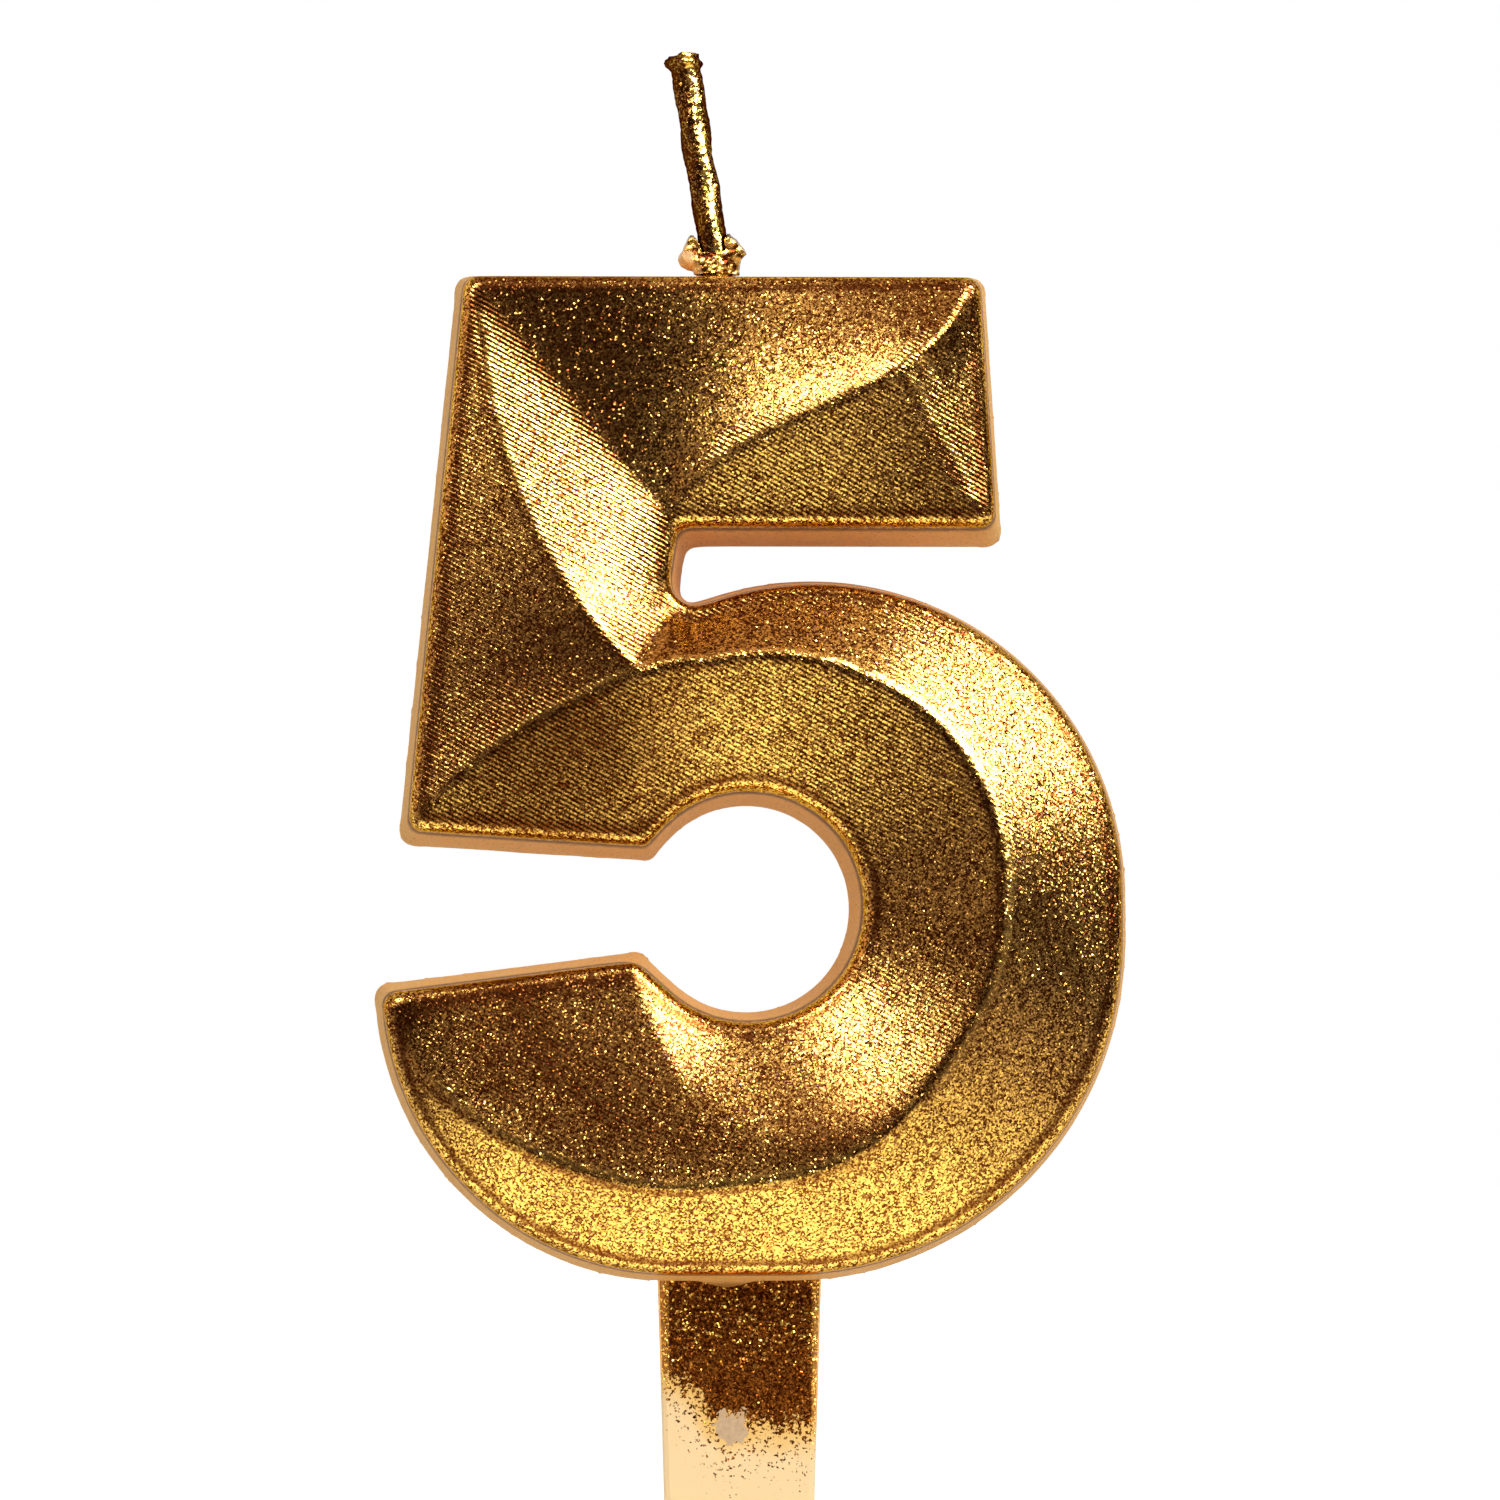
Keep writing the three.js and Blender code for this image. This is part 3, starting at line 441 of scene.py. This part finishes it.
pale = CLOTH_DARK + near * CLOTH_PALE + at_left * away * LEFT_HAZE
pale = pale + at_right * away * RIGHT_HAZE
cloth_colour = cloth_paint.blend(near.rises(0, 0.5), HAZE_COLOUR, PATCH_COLOUR)
shown = {"Color": cloth_colour, "Strength": pale}
cloth_paint.finish_with(cloth_paint.node("ShaderNodeEmission", {}, shown))
cloth.data.materials.append(cloth_paint.owner)
print("nodes in the cloth's material:", len(cloth_paint.tree.nodes))

# %% [markdown]
# # The digit
#
# The real digit is cast in a mould, so its folds aren't knife edges, and its facets are
# smooth. The solid model has sharp folds between flat triangles. One way to soften it is
# a bevel on every fold, but the triangles along a curved fold are thin and a bevel tears
# them. Here a voxel remesh covers the whole solid with small even squares instead, and
# then its points are ironed: a few passes everywhere, which round the sharp folds by a
# fraction of a millimetre, and many passes where no sharp fold is near, which melt the
# shallow folds and the edges between the flat triangles into smooth facets.

# %% Copy and remesh a solid
def merged_copy(name, piece_name):
    """A new object with a solid's mesh, its loose triangles joined at their corners."""
    work = bmesh.new()
    work.from_mesh(solids[name].data)
    bmesh.ops.remove_doubles(work, verts=work.verts, dist=0.002 * MM)
    data = bpy.data.meshes.new(piece_name)
    work.to_mesh(data)
    work.free()
    piece = bpy.data.objects.new(piece_name, data)
    bpy.context.scene.collection.objects.link(piece)
    return piece


def remeshed(piece, square):
    """The piece covered with even squares of the given side, with the modifier applied."""
    even = piece.modifiers.new("even", "REMESH")
    even.mode = "VOXEL"
    even.voxel_size = square
    graph = bpy.context.evaluated_depsgraph_get()
    made = bpy.data.meshes.new_from_object(piece.evaluated_get(graph))
    piece.modifiers.clear()
    piece.data = made
    made.name = piece.name
    print(piece.name, "has", len(made.polygons), "faces")
    return piece


digit = merged_copy("digit_body", "gold_digit")

# %% [markdown]
# The sharp folds are found before the remesh, by the angle between the two triangles at
# an edge. Points are set along each such edge and kept in a KD tree, which answers how
# far the nearest fold is.

# %% Find the sharp folds
SHARP_FOLD = math.radians(13)
RIDGE_FOLD = math.radians(19)
FOLD_STEP = 0.25 * MM
DIGIT_SQUARE = 0.335 * MM


def fold_points(data, sharp):
    """A KD tree of points along the edges whose faces turn by more than an angle."""
    work = bmesh.new()
    work.from_mesh(data)
    spots = []
    for edge in work.edges:
        if len(edge.link_faces) == 2 and edge.calc_face_angle() > sharp:
            start, end = (corner.co.copy() for corner in edge.verts)
            parts = max(1, round((end - start).length / FOLD_STEP))
            spots += [start.lerp(end, i / parts) for i in range(parts + 1)]
    work.free()
    tree = kdtree.KDTree(len(spots))
    for i, spot in enumerate(spots):
        tree.insert(spot, i)
    tree.balance()
    print("points on sharp folds:", len(spots))
    return tree


sharp_folds = fold_points(digit.data, SHARP_FOLD)
ridges = fold_points(digit.data, RIDGE_FOLD)
remeshed(digit, DIGIT_SQUARE)

# %% [markdown]
# The points are sorted before any of them moves. All get the first passes, and those that
# are more than half a millimetre from a sharp fold get the many passes as well. A pass
# moves each point halfway to the middle of its neighbours.

# %% Iron the facets
IRON_PASSES = 30
FOLD_PASSES = 2
FOLD_HALF_WIDTH = 0.5 * MM


def smooth(work, points, passes):
    """Evens out points, as often as asked."""
    axes = {"use_axis_x": True, "use_axis_y": True, "use_axis_z": True}
    for _ in range(passes):
        bmesh.ops.smooth_vert(work, verts=points, factor=0.5, **axes)


def iron(piece, folds, passes, fold_passes, half_width):
    """Smooths a piece, with most passes kept away from its sharp folds."""
    work = bmesh.new()
    work.from_mesh(piece.data)
    away = [v for v in work.verts if folds.find(v.co)[2] > half_width]
    smooth(work, list(work.verts), fold_passes)
    smooth(work, away, passes)
    work.to_mesh(piece.data)
    work.free()
    print(piece.name, "ironed at", len(away), "points")


iron(digit, sharp_folds, IRON_PASSES, FOLD_PASSES, FOLD_HALF_WIDTH)

# %% [markdown]
# Three folds of the real digit are so soft that they have no edge at all. The points within
# a few millimetres of a line along such a fold are smoothed many times more, but only those
# in front of a certain depth, where the facets are, so that the side walls stay as they
# are. A fold is given by its two ends, as X and Z, a radius and a number of passes.

# %% Melt the soft folds
FACETS_BEHIND = -8.18 * MM
SOFT_FOLDS = {
    "stem, beside the slot": ((-6.8, 50.5), (-6.8, 48.5), 2.4, 115),
    "middle of the bar": ((-4.8, 65.0), (-4.8, 59.5), 2.8, 120),
    "end of the bar": ((14.4, 60.5), (16.6, 56.5), 2.8, 120),
}


def melt_along(piece, start, end, radius, passes):
    """Smooths the points of the facets that lie within a radius of a line."""
    work = bmesh.new()
    work.from_mesh(piece.data)
    points = []
    for vertex in work.verts:
        if vertex.co.y < FACETS_BEHIND:
            flat = Vector((vertex.co.x, 0, vertex.co.z))
            foot, share = geometry.intersect_point_line(flat, start, end)
            foot = start.lerp(end, min(1, max(0, share)))
            if (flat - foot).length < radius:
                points.append(vertex)
    smooth(work, points, passes)
    work.to_mesh(piece.data)
    work.free()
    print("melted", len(points), "points")


for place, (start, end, radius, passes) in SOFT_FOLDS.items():
    print(place, end=": ")
    ends = [Vector((across, 0, up)) * MM for across, up in (start, end)]
    melt_along(digit, *ends, radius * MM, passes)

# %% [markdown]
# Beside each ridge a light line is painted on the side towards the upper right, a painted
# highlight, and a dark line on the other side, a painted shade. Every point gets a number
# for it, from -1 in the dark line to 1 in the light one, and 0 away from the ridges. The
# numbers are stored with the mesh as an attribute, which the material reads later. Ridges
# are told from the folds at the rim by how far they stand forward.

# %% Painted highlight and shade beside the ridges
LINE_MIDDLE = 0.3 * MM
LINE_HALF_WIDTH = 0.3 * MM
RIDGES_BEHIND = -8.7 * MM
TO_UPPER_RIGHT = Vector((0.7, 0, 0.7))
SOFT_FOLD_X = -6.5 * MM
SOFT_FOLD_HALF_WIDTH = 1.2 * MM
SOFT_FOLD_FROM = 30 * MM
SOFT_FOLD_TO = 42.2 * MM


def on_soft_fold(spot):
    """The fold below the peak is sharp in the solid, but soft on the real digit."""
    near = abs(spot.x - SOFT_FOLD_X) < SOFT_FOLD_HALF_WIDTH
    return near and SOFT_FOLD_FROM < spot.z < SOFT_FOLD_TO


def paint_ridge_light_and_shade(piece, folds, name):
    """Stores for each point how far it is in the painted light or the painted dark line of a
    ridge.
    """
    values = []
    for vertex in piece.data.vertices:
        spot, _, _ = folds.find(vertex.co)
        aside = (vertex.co - spot).dot(TO_UPPER_RIGHT)
        off_middle = abs(abs(aside) - LINE_MIDDLE)
        value = max(0, 1 - off_middle / LINE_HALF_WIDTH) * math.copysign(1, aside)
        away = (vertex.co - spot).length > LINE_MIDDLE + LINE_HALF_WIDTH
        low = spot.y > RIDGES_BEHIND
        values.append(0 if away or low or on_soft_fold(spot) else value)
    layer = piece.data.attributes.new(name, "FLOAT", "POINT")
    layer.data.foreach_set("value", values)
    print("points in lines:", sum(value != 0 for value in values))


paint_ridge_light_and_shade(digit, ridges, "ridge_painted_light_and_shade")

# %% [markdown]
# The two halves of the mould meet in the plane Y = 0. A little wax creeps out between
# them and leaves a thin, broken flash round the whole outline. The points next to that
# plane move outwards, along their normals, by a noise that is cut off below a threshold,
# so the flash comes and goes.

# %% Flash at the parting line
FLASH_HALF_WIDTH = 0.2 * MM
FLASH_MOST = 0.16 * MM
BROAD_RATE = 0.35
FINE_RATE = 1.6


def raise_flash(piece):
    """Pushes the points near the parting plane outwards here and there."""
    data = piece.data
    raised = 0
    moves = []
    for vertex in data.vertices:
        near = 1 - abs(vertex.co.y) / FLASH_HALF_WIDTH
        outward = Vector((vertex.normal.x, 0, vertex.normal.z))
        if near > 0 and outward.length > 0.5:
            along = Vector((vertex.co.x, 0, vertex.co.z)) / MM
            broad = noise.noise(along * BROAD_RATE)
            fine = noise.noise(along * FINE_RATE + Vector((7, 0, 0)))
            height = min(1, max(0, 0.25 + broad * 1.3 + fine * 0.8))
            moves.append((vertex, outward.normalized() * height * FLASH_MOST * near))
            raised += height > 0.5
    for vertex, move in moves:
        vertex.co += move
    data.update()
    print("flash stands out at", raised, "points")


raise_flash(digit)
digit.data.shade_smooth()
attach(digit, "root")
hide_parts("digit_body")

# %% [markdown]
# # The wick
#
# A wick is a braid of cotton threads. Dipped in lacquer it becomes a lumpy golden twig,
# with ridges that wind round it. The copy of the solid is remeshed finely and its points
# move in and out by a pattern: a few threads that wind round the wick, and two sizes of
# lumps.

# %% Wick
def roughen(piece, height_at):
    """Moves every point of a piece along its normal by a height that its place gives."""
    data = piece.data
    moves = [vertex.normal * height_at(vertex.co / MM) for vertex in data.vertices]
    for vertex, move in zip(data.vertices, moves):
        vertex.co += move * MM
    data.update()


def lumps(at, size, seed):
    """A smooth noise between -1 and 1 whose lumps are about size wide, in mm."""
    return noise.noise(at / size + Vector((seed, 0, 0)))


WICK_X = -1.6
WICK_FOOT_Z = 70.0
WICK_LEAN = -0.155


def wick_height(at):
    """The braid of the wick, in mm: threads wound both ways, and lumps."""
    axis_x = WICK_X + WICK_LEAN * max(0, at.z - WICK_FOOT_Z)
    turn = math.atan2(at.y, at.x - axis_x)
    thread = math.sin(3 * turn + at.z * 1.1) * 0.05
    cross = math.sin(3 * turn - at.z * 1.7) * 0.04
    broad = lumps(Vector((at.x, at.y, at.z * 0.4)), 0.9, 3) * 0.08
    fine = lumps(at, 0.35, 11) * 0.05
    return thread + cross + broad + fine - 0.06


WICK_SQUARE = 0.12 * MM
wick = remeshed(merged_copy("wick", "gold_wick"), WICK_SQUARE)
roughen(wick, wick_height)
wick.data.shade_smooth()
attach(wick, "root")
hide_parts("wick")

# %% [markdown]
# Crumbs of wax seal the wick in its hole. Wax breaks in flat faces, and cutting a mesh with
# planes would leave holes to close. Pressing is simpler: what stands out past a plane is
# moved back nearly onto it. Each break is a spot on the plane and the way that it faces.

# %% Seal
def seal_height(at):
    """The lumps of the wax that seals the wick, in mm."""
    return lumps(at, 1.1, 5) * 0.1 + lumps(at, 0.4, 23) * 0.06 - 0.03


PRESSED_BACK = 0.9


def break_off(piece, spot, facing):
    """Presses what stands out past a plane back towards it, as where a crumb broke off."""
    spot = Vector(spot) * MM
    facing = Vector(facing).normalized()
    for vertex in piece.data.vertices:
        past = (vertex.co - spot).dot(facing)
        if past > 0:
            vertex.co -= facing * past * PRESSED_BACK
    piece.data.update()


BREAKS = (
    ((-4.15, 0, 71.4), (-0.9, -0.1, 0.44)),
    ((-4.1, 0, 70.6), (-0.75, -0.1, -0.65)),
    ((-3.4, -0.75, 71.0), (-0.25, -1, 0.1)),
    ((0.2, 0, 72.0), (0.75, -0.2, 0.65)),
    ((0.1, -0.6, 71.0), (0.4, -0.9, -0.1)),
)
SEAL_SQUARE = 0.1 * MM
seal = remeshed(merged_copy("wick_seal", "wick_seal_wax"), SEAL_SQUARE)
for spot, facing in BREAKS:
    break_off(seal, spot, facing)
roughen(seal, seal_height)
seal.data.shade_smooth()
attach(seal, "root")
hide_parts("wick_seal")

# %% [markdown]
# # Gold lacquer and bare wax
#
# The lacquer is a spray of tiny metal flakes. Each flake lies a little askew, so here and
# there one catches a lamp: that is the sparkle. A noise in a Bump node would give soft
# waves. A Voronoi texture is closer to flakes, because every small cell gets a chance
# colour of its own. One such colour tilts the normal of its cell, and another one makes
# the cell a light or a dark flake.
#
# The facets are told apart by sums on X and Z, in mm. A sum that is 0 on a crease and
# grows to one side of it becomes a mask with `rises`.

# %% Where the facets are
COUNTER_X = 0.45
COUNTER_Z = 25.9

lacquer = Paint(bpy.data.materials.new("gold_lacquer_on_wax"))
x, y, z = lacquer.axes()
right_of_valley = (x + 17.6) * 0.78 + (z - 67.8) * 0.625
sweep = (58.2 + (x + 1.4) * 0.385).most(62.5 + (x - 9.7) * 0.985)
sweep = sweep.least(52.5 + (x + 5.2) * 1.5)
upper_facet = right_of_valley.rises(-0.2, 0.3) * (z - sweep).rises(-0.2, 0.3)
leaf = right_of_valley.falls(-0.2, 0.1) * right_of_valley.rises(-5.5, -3.5) * z.rises(42, 45)
from_x = x - COUNTER_X
from_z = z - COUNTER_Z
ring = (from_x * from_x + from_z * from_z).root()
outside_ridge = ring.rises(17, 18) * z.falls(44, 46) * x.rises(-8, -5)
# Where the bowl gets painted shade, along the inside of its ridge.
inside_ridge_painted_shade = ring.rises(13, 17.5) * ring.falls(17.6, 18.4) * z.falls(22, 28)
upper_right = (x * 0.86 + z * 0.5).rises(31, 34)
peel = ring.rises(17.5, 18.5) * ring.falls(27, 29) * upper_right
print("nodes for the facets:", len(lacquer.tree.nodes))

# %% [markdown]
# Over most facets run the marks of the cutter that made the mould: fine parallel lines that
# fall to the right. A sine along the direction across them gives the lines, and a noise
# makes them waver. The upper facet of the bar has none, and they are fainter in the lower
# half of the digit and outside the ridge of the bowl.
#
# The flakes are tilted most at the upper right of the bowl, where the spray dried rough
# like the peel of an orange, and least on the long leaf of the stem.

# %% Tool marks and flakes
MARK_PITCH = 0.3
MARK_FALL = math.radians(28)
MARK_WAVER = 0.12
MARK_HEIGHT = 0.008
FLAKE = 0.115
LARGE_FLAKE = 0.24
TILT_CELL = 0.1
TILT = 1.6
PEEL_TILT = 3
LEAF_TILT = 0.9

across = x * math.sin(MARK_FALL) + z * math.cos(MARK_FALL)
waver = (lacquer.grain(2.5) - 0.5) * MARK_WAVER
marks = ((across + waver) * (2 * math.pi / MARK_PITCH)).sine()
lower_half = z.falls(22, 30)
marked = (1 - upper_facet) * (1 - lower_half * 0.75) * (1 - outside_ridge * 0.7)
flakes = lacquer.speckle(FLAKE) * 0.85 + lacquer.speckle(LARGE_FLAKE, 0.5) * 0.15
tilted = lacquer.flakes(TILT_CELL, TILT + peel * PEEL_TILT - leaf * LEAF_TILT)
print("nodes with marks and flakes:", len(lacquer.tree.nodes))

# %% [markdown]
# The spray comes from the front. It covers the facets and the rounded rim and thins out
# over the edge, so the side walls are bare rosy wax with a brown gold line next to the
# rim. The material mixes lacquer and wax with one mask, made of the depth behind the
# front and a noise. The wax has dark specks, a darker seam here and there in the parting
# plane, and lacquer that gathered on the lip over the pick.

# %% Bare wax, and where the coat ends
BARE_WAX = (0.8, 0.39, 0.09)
PALE_WAX = (0.86, 0.49, 0.17)
SPECK = (0.2, 0.09, 0.04)
SEAM = (0.25, 0.1, 0.03)
STAINED_LIP = (0.3, 0.12, 0.02)
BROWN_GOLD = (0.09, 0.02, 0.004)

edge = y + (lacquer.grain(0.5) - 0.5) * 0.9
coat = edge.falls(-7.1, -6.6)
under_coat = edge.falls(-6.6, -5.2)
seam = y.size().falls(0.05, 0.25) * lacquer.grain(1.3, 3).rises(0.4, 0.6)
specks = lacquer.grain(0.2, 1, 0.5, 0.3).rises(0.6, 0.7)
lip = z.falls(-0.1, 0.3) * x.size().falls(5, 7)
wax_colour = lacquer.blend(lacquer.grain(3, 4), BARE_WAX, PALE_WAX)
wax_colour = lacquer.blend(under_coat * 0.8, wax_colour, BROWN_GOLD)
wax_colour = lacquer.blend(specks * 0.55, wax_colour, SPECK)
wax_colour = lacquer.blend(lip * 0.85, wax_colour, STAINED_LIP)
wax_colour = lacquer.blend(seam * 0.6, wax_colour, SEAM)
print("nodes with the wax:", len(lacquer.tree.nodes))

# %% [markdown]
# Light and shade are painted into the lacquer in spots. A list gives for each spot its X and
# Z, the radius up to which it is full, the radius where it ends, and its share, by which a
# painted shade darkens the light flakes. A share below 0 is a painted highlight, with more
# light flakes. Painted shade also darkens the facet at the top of the bar towards its left,
# and the bowl along the inside of its ridge.
#
# Painted shade darkens the groove inside the rim, beside the painted light and dark lines
# of the ridges. The groove is told by its depth. The upper facet lies as deep as the groove,
# so there only the strip next to the rim counts.

# %% Painted light and shade on the lacquer
GOLD = (1.0, 0.62, 0.15)
PAINTED_LIGHT_AND_SHADE_SPOTS = {
    "stem": (-13, 39, 2, 13, 0.6),
    "underside facet of the stem": (-12, 34.5, 3, 9, 0.35),
    "under the counter": (6, 11, 1, 6, 0.5),
    "terminal": (-10, 14, 4, 11, 0.55),
    "tip of the terminal": (-18, 18, 3, 7, 0.45),
    "top of the bar": (11, 67.5, 1, 8, 0.4),
    "middle of the upper facet": (2.5, 62.3, 1, 4.5, -0.8),
    "lower bar": (0, 57.5, 3, 10, -0.9),
    "lower bar, at its end": (16, 57, 2, 6, 0.5),
    "inner bowl, lower right": (8.5, 20.5, 1, 5, -0.9),
    "upper right of the bowl": (18, 38, 3, 9, 0.3),
    "right side of the bowl": (23, 27, 3, 8, 0.5),
    "lower right of the bowl": (21, 14.5, 2, 7, -0.35),
    "lower left of the bowl": (-17, 8, 3, 6, -0.3),
}

patches = lacquer.grain(5, 3)
shade = (flakes + (patches - 0.5) * 0.3).rises(0.1, 0.9)
shade = shade * (0.15 + shade * 0.85)
# Each spot paints shade onto the flakes, or a highlight where its share is below 0.
for spot_x, spot_z, full, rim, share in PAINTED_LIGHT_AND_SHADE_SPOTS.values():
    aside = x - spot_x
    above = z - spot_z
    spot = (aside * aside + above * above).root().falls(full, rim)
    shade = shade * (1 - spot * share)
# Painted shade: the upper facet of the bar darkens towards its left.
shade = shade * (1 - upper_facet * x.falls(-9.5, -2) * 0.7)
# Painted shade along the inside of the bowl's ridge.
shade = shade * (1 - inside_ridge_painted_shade * 0.4)
# Painted highlight and painted shade beside the ridges, read from the mesh.
line = lacquer.node("ShaderNodeAttribute", {"attribute_name": "ridge_painted_light_and_shade"}, {}, "Fac")
shade = shade + line.most(0) * 0.5
shade = shade * (1 + line.least(0) * 0.95)
# Painted shade in the groove inside the rim.
forward = 0 - y
rim_groove_painted_shade = forward.rises(8.12, 8.2) * forward.falls(8.26, 8.5)
rim_groove_painted_shade = rim_groove_painted_shade * (1 - upper_facet * z.falls(67.7, 68.3))
gold_colour = lacquer.blend(shade * (1 - rim_groove_painted_shade * 0.8), BROWN_GOLD, GOLD)
print("nodes with all shades of gold:", len(lacquer.tree.nodes))

# %% [markdown]
# One shader shows both lacquer and wax: where the coat is 1 it is metal with a gloss, and
# where it is 0 it is dull wax. The relief of the tool marks is in the lacquer alone.

# %% The digit's shader
WAX_ROUGHNESS = 0.6
LACQUER_ROUGHNESS = 0.21
lacquer.finish_with(
    lacquer.node(
        "ShaderNodeBsdfPrincipled",
        {},
        {
            "Base Color": lacquer.blend(coat, wax_colour, gold_colour),
            "Metallic": coat,
            "Specular IOR Level": 0.05,
            "Specular Tint": (0.8, 0.5, 0.25, 1),
            "Roughness": WAX_ROUGHNESS - coat * (WAX_ROUGHNESS - LACQUER_ROUGHNESS),
            "Normal": lacquer.relief(marks * marked * MARK_HEIGHT * coat, tilted),
        },
    )
)
digit.data.materials.clear()
digit.data.materials.append(lacquer.owner)
print("nodes in the digit's material:", len(lacquer.tree.nodes))

# %% [markdown]
# The cotton is dark, with golden flecks on its front. One bright gold streak runs down it,
# right of the middle: a painted highlight. The streak leans with the wick, so its distance
# from the wick's own axis is worked out first.

# %% Gold on the wick
THREAD_GOLD = (1.0, 0.66, 0.16)
DARK_COTTON = (0.09, 0.03, 0.006)
thread_gold = Paint(bpy.data.materials.new("gold_on_cotton"))
thread_lumps = thread_gold.grain(0.4, 3)
thread_x, thread_y, thread_z = thread_gold.axes()
off_axis = thread_x - WICK_X - (thread_z - WICK_FOOT_Z).most(0) * WICK_LEAN
off_axis = off_axis + (thread_lumps - 0.5) * 0.8
# A painted highlight: a gold streak down the wick, right of its middle.
painted_highlight_streak = off_axis.rises(0, 0.25) * off_axis.falls(0.55, 0.8)
flecks = thread_gold.grain(0.16, 2).rises(0.5, 0.62)
highlight_and_flecks = (painted_highlight_streak * 0.85 + flecks * 0.45) * thread_y.falls(-0.75, -0.3)
thread_gold.finish_with(
    thread_gold.node(
        "ShaderNodeBsdfPrincipled",
        {},
        {
            "Base Color": thread_gold.blend(highlight_and_flecks.least(1), DARK_COTTON, THREAD_GOLD),
            "Metallic": 1.0,
            "Specular Tint": (0.3, 0.22, 0.13, 1),
            "Roughness": 0.1 + thread_lumps * 0.15,
            "Normal": thread_gold.relief(thread_lumps * 0.12, thread_gold.flakes(0.15, 0.3)),
        },
    )
)
wick.data.materials.clear()
wick.data.materials.append(thread_gold.owner)
print("nodes in the wick's material:", len(thread_gold.tree.nodes))

# %% [markdown]
# The seal is gold too, and painted shade turns it brown in its hollows, but the outside of
# its left crumb is broken and shows bare wax.

# %% Gold and bare wax on the seal
seal_paint = Paint(bpy.data.materials.new("gold_and_bare_seal"))
seal_x, _, seal_z = seal_paint.axes()
seal_lumps = seal_paint.grain(0.45, 3)
broken = (seal_x + seal_lumps * 1.6 - (70.6 - seal_z) * 0.5).falls(-2.4, -2.0)
# Painted shade: the seal turns brown where its bump is low, in its hollows.
seal_gold_and_shaded_hollows = seal_paint.blend(seal_lumps.rises(0.42, 0.66), BROWN_GOLD, GOLD)
seal_paint.finish_with(
    seal_paint.node(
        "ShaderNodeBsdfPrincipled",
        {},
        {
            "Base Color": seal_paint.blend(broken, seal_gold_and_shaded_hollows, PALE_WAX),
            "Metallic": 1 - broken,
            "Roughness": 0.25 + broken * 0.2,
            "Normal": seal_paint.relief(seal_lumps * 0.08, seal_paint.flakes(0.15, 0.6)),
        },
    )
)
seal.data.materials.clear()
seal.data.materials.append(seal_paint.owner)
print("nodes in the seal's material:", len(seal_paint.tree.nodes))

# %% [markdown]
# # The pick
#
# The pick is one flat strip of cream plastic. It gets its share of the spray at its top,
# next to the digit, so the gold ends ragged: first full, then broken into specks, then
# drops, then bare plastic. The border lies lower at the right than at the left. In one
# place by the border a bit of something kept the spray off, and a pale blot is left.

# %% Where the spray ends on the pick
pick_paint = Paint(bpy.data.materials.new("cream_plastic_with_gold"))
pick_x, _, pick_z = pick_paint.axes()
cloud = pick_paint.grain(2.2, 3)
spatter = pick_paint.grain(0.3, 2, 0.6)
border = pick_x.rises(-5.5, -1) * -3.9 - 5.6
below = border - pick_z
ragged = below + (cloud - 0.5) * 3.5 + (spatter - 0.5) * 6
drops = (pick_paint.grain(0.2, 1, 0.5, 3) - below * 0.04).rises(0.52, 0.58)
blot_x = pick_x + 0.5
blot_z = pick_z + 9.7
from_blot = (blot_x * blot_x + blot_z * blot_z).root()
blot = (from_blot + (cloud - 0.5) * 4 + (spatter - 0.5) * 1.5).falls(0.8, 0.95)
pick_coat = ragged.falls(-0.2, 0.3).most(drops * below.rises(-1, 0))
pick_coat = pick_coat * (1 - blot)
print("nodes for the end of the spray:", len(pick_paint.tree.nodes))

# %% [markdown]
# Under the last of the spray the plastic is stained yellow. The gold itself is darker and
# redder than on the digit, with a few bright glints near the top and golden edges.

# %% Plastic and gold of the pick
CREAM = (0.98, 0.7, 0.36)
YELLOW_STAIN = (0.9, 0.5, 0.07)
PALE_BLOT = (0.8, 0.55, 0.32)
DARK_BLOT = (0.42, 0.27, 0.15)
DARK_COAT = (0.09, 0.014, 0.002)
RED_GOLD = (1.0, 0.34, 0.05)
stain = (below + (cloud - 0.5) * 3).falls(0.4, 3)
plastic = pick_paint.blend(stain * 0.75, CREAM, YELLOW_STAIN)
plastic = pick_paint.blend(blot, plastic, pick_paint.blend(spatter, PALE_BLOT, DARK_BLOT))
pick_flakes = pick_paint.speckle(FLAKE)
glints = pick_paint.speckle(0.17, 0.3).rises(0.86, 0.92) * pick_z.rises(-7, -3)
edges = (pick_x - 0.05).size().rises(4.85, 5.05)
bright = (pick_flakes * pick_flakes * 0.8 + edges * 0.5 + glints * 0.7).least(1)
pick_gold = pick_paint.blend(bright, DARK_COAT, RED_GOLD)
pick_gold = pick_paint.blend((glints + edges * 0.5).least(1), pick_gold, GOLD)
print("nodes with the colours:", len(pick_paint.tree.nodes))

# %% [markdown]
# The solid of the pick is flat and sharp, as the real pick is, so it is shown as it stands
# and only gets its material.

# %% The pick's shader
tilt = 1.2 + glints * 3 + edges * 2
pick_paint.finish_with(
    pick_paint.node(
        "ShaderNodeBsdfPrincipled",
        {},
        {
            "Base Color": pick_paint.blend(pick_coat, plastic, pick_gold),
            "Metallic": pick_coat,
            "Roughness": 0.3 - pick_coat * 0.05,
            "Normal": pick_paint.flakes(TILT_CELL, tilt * pick_coat),
        },
    )
)
pick = solids["cake_pick"]
pick.data.materials.clear()
pick.data.materials.append(pick_paint.owner)
print("nodes in the pick's material:", len(pick_paint.tree.nodes))
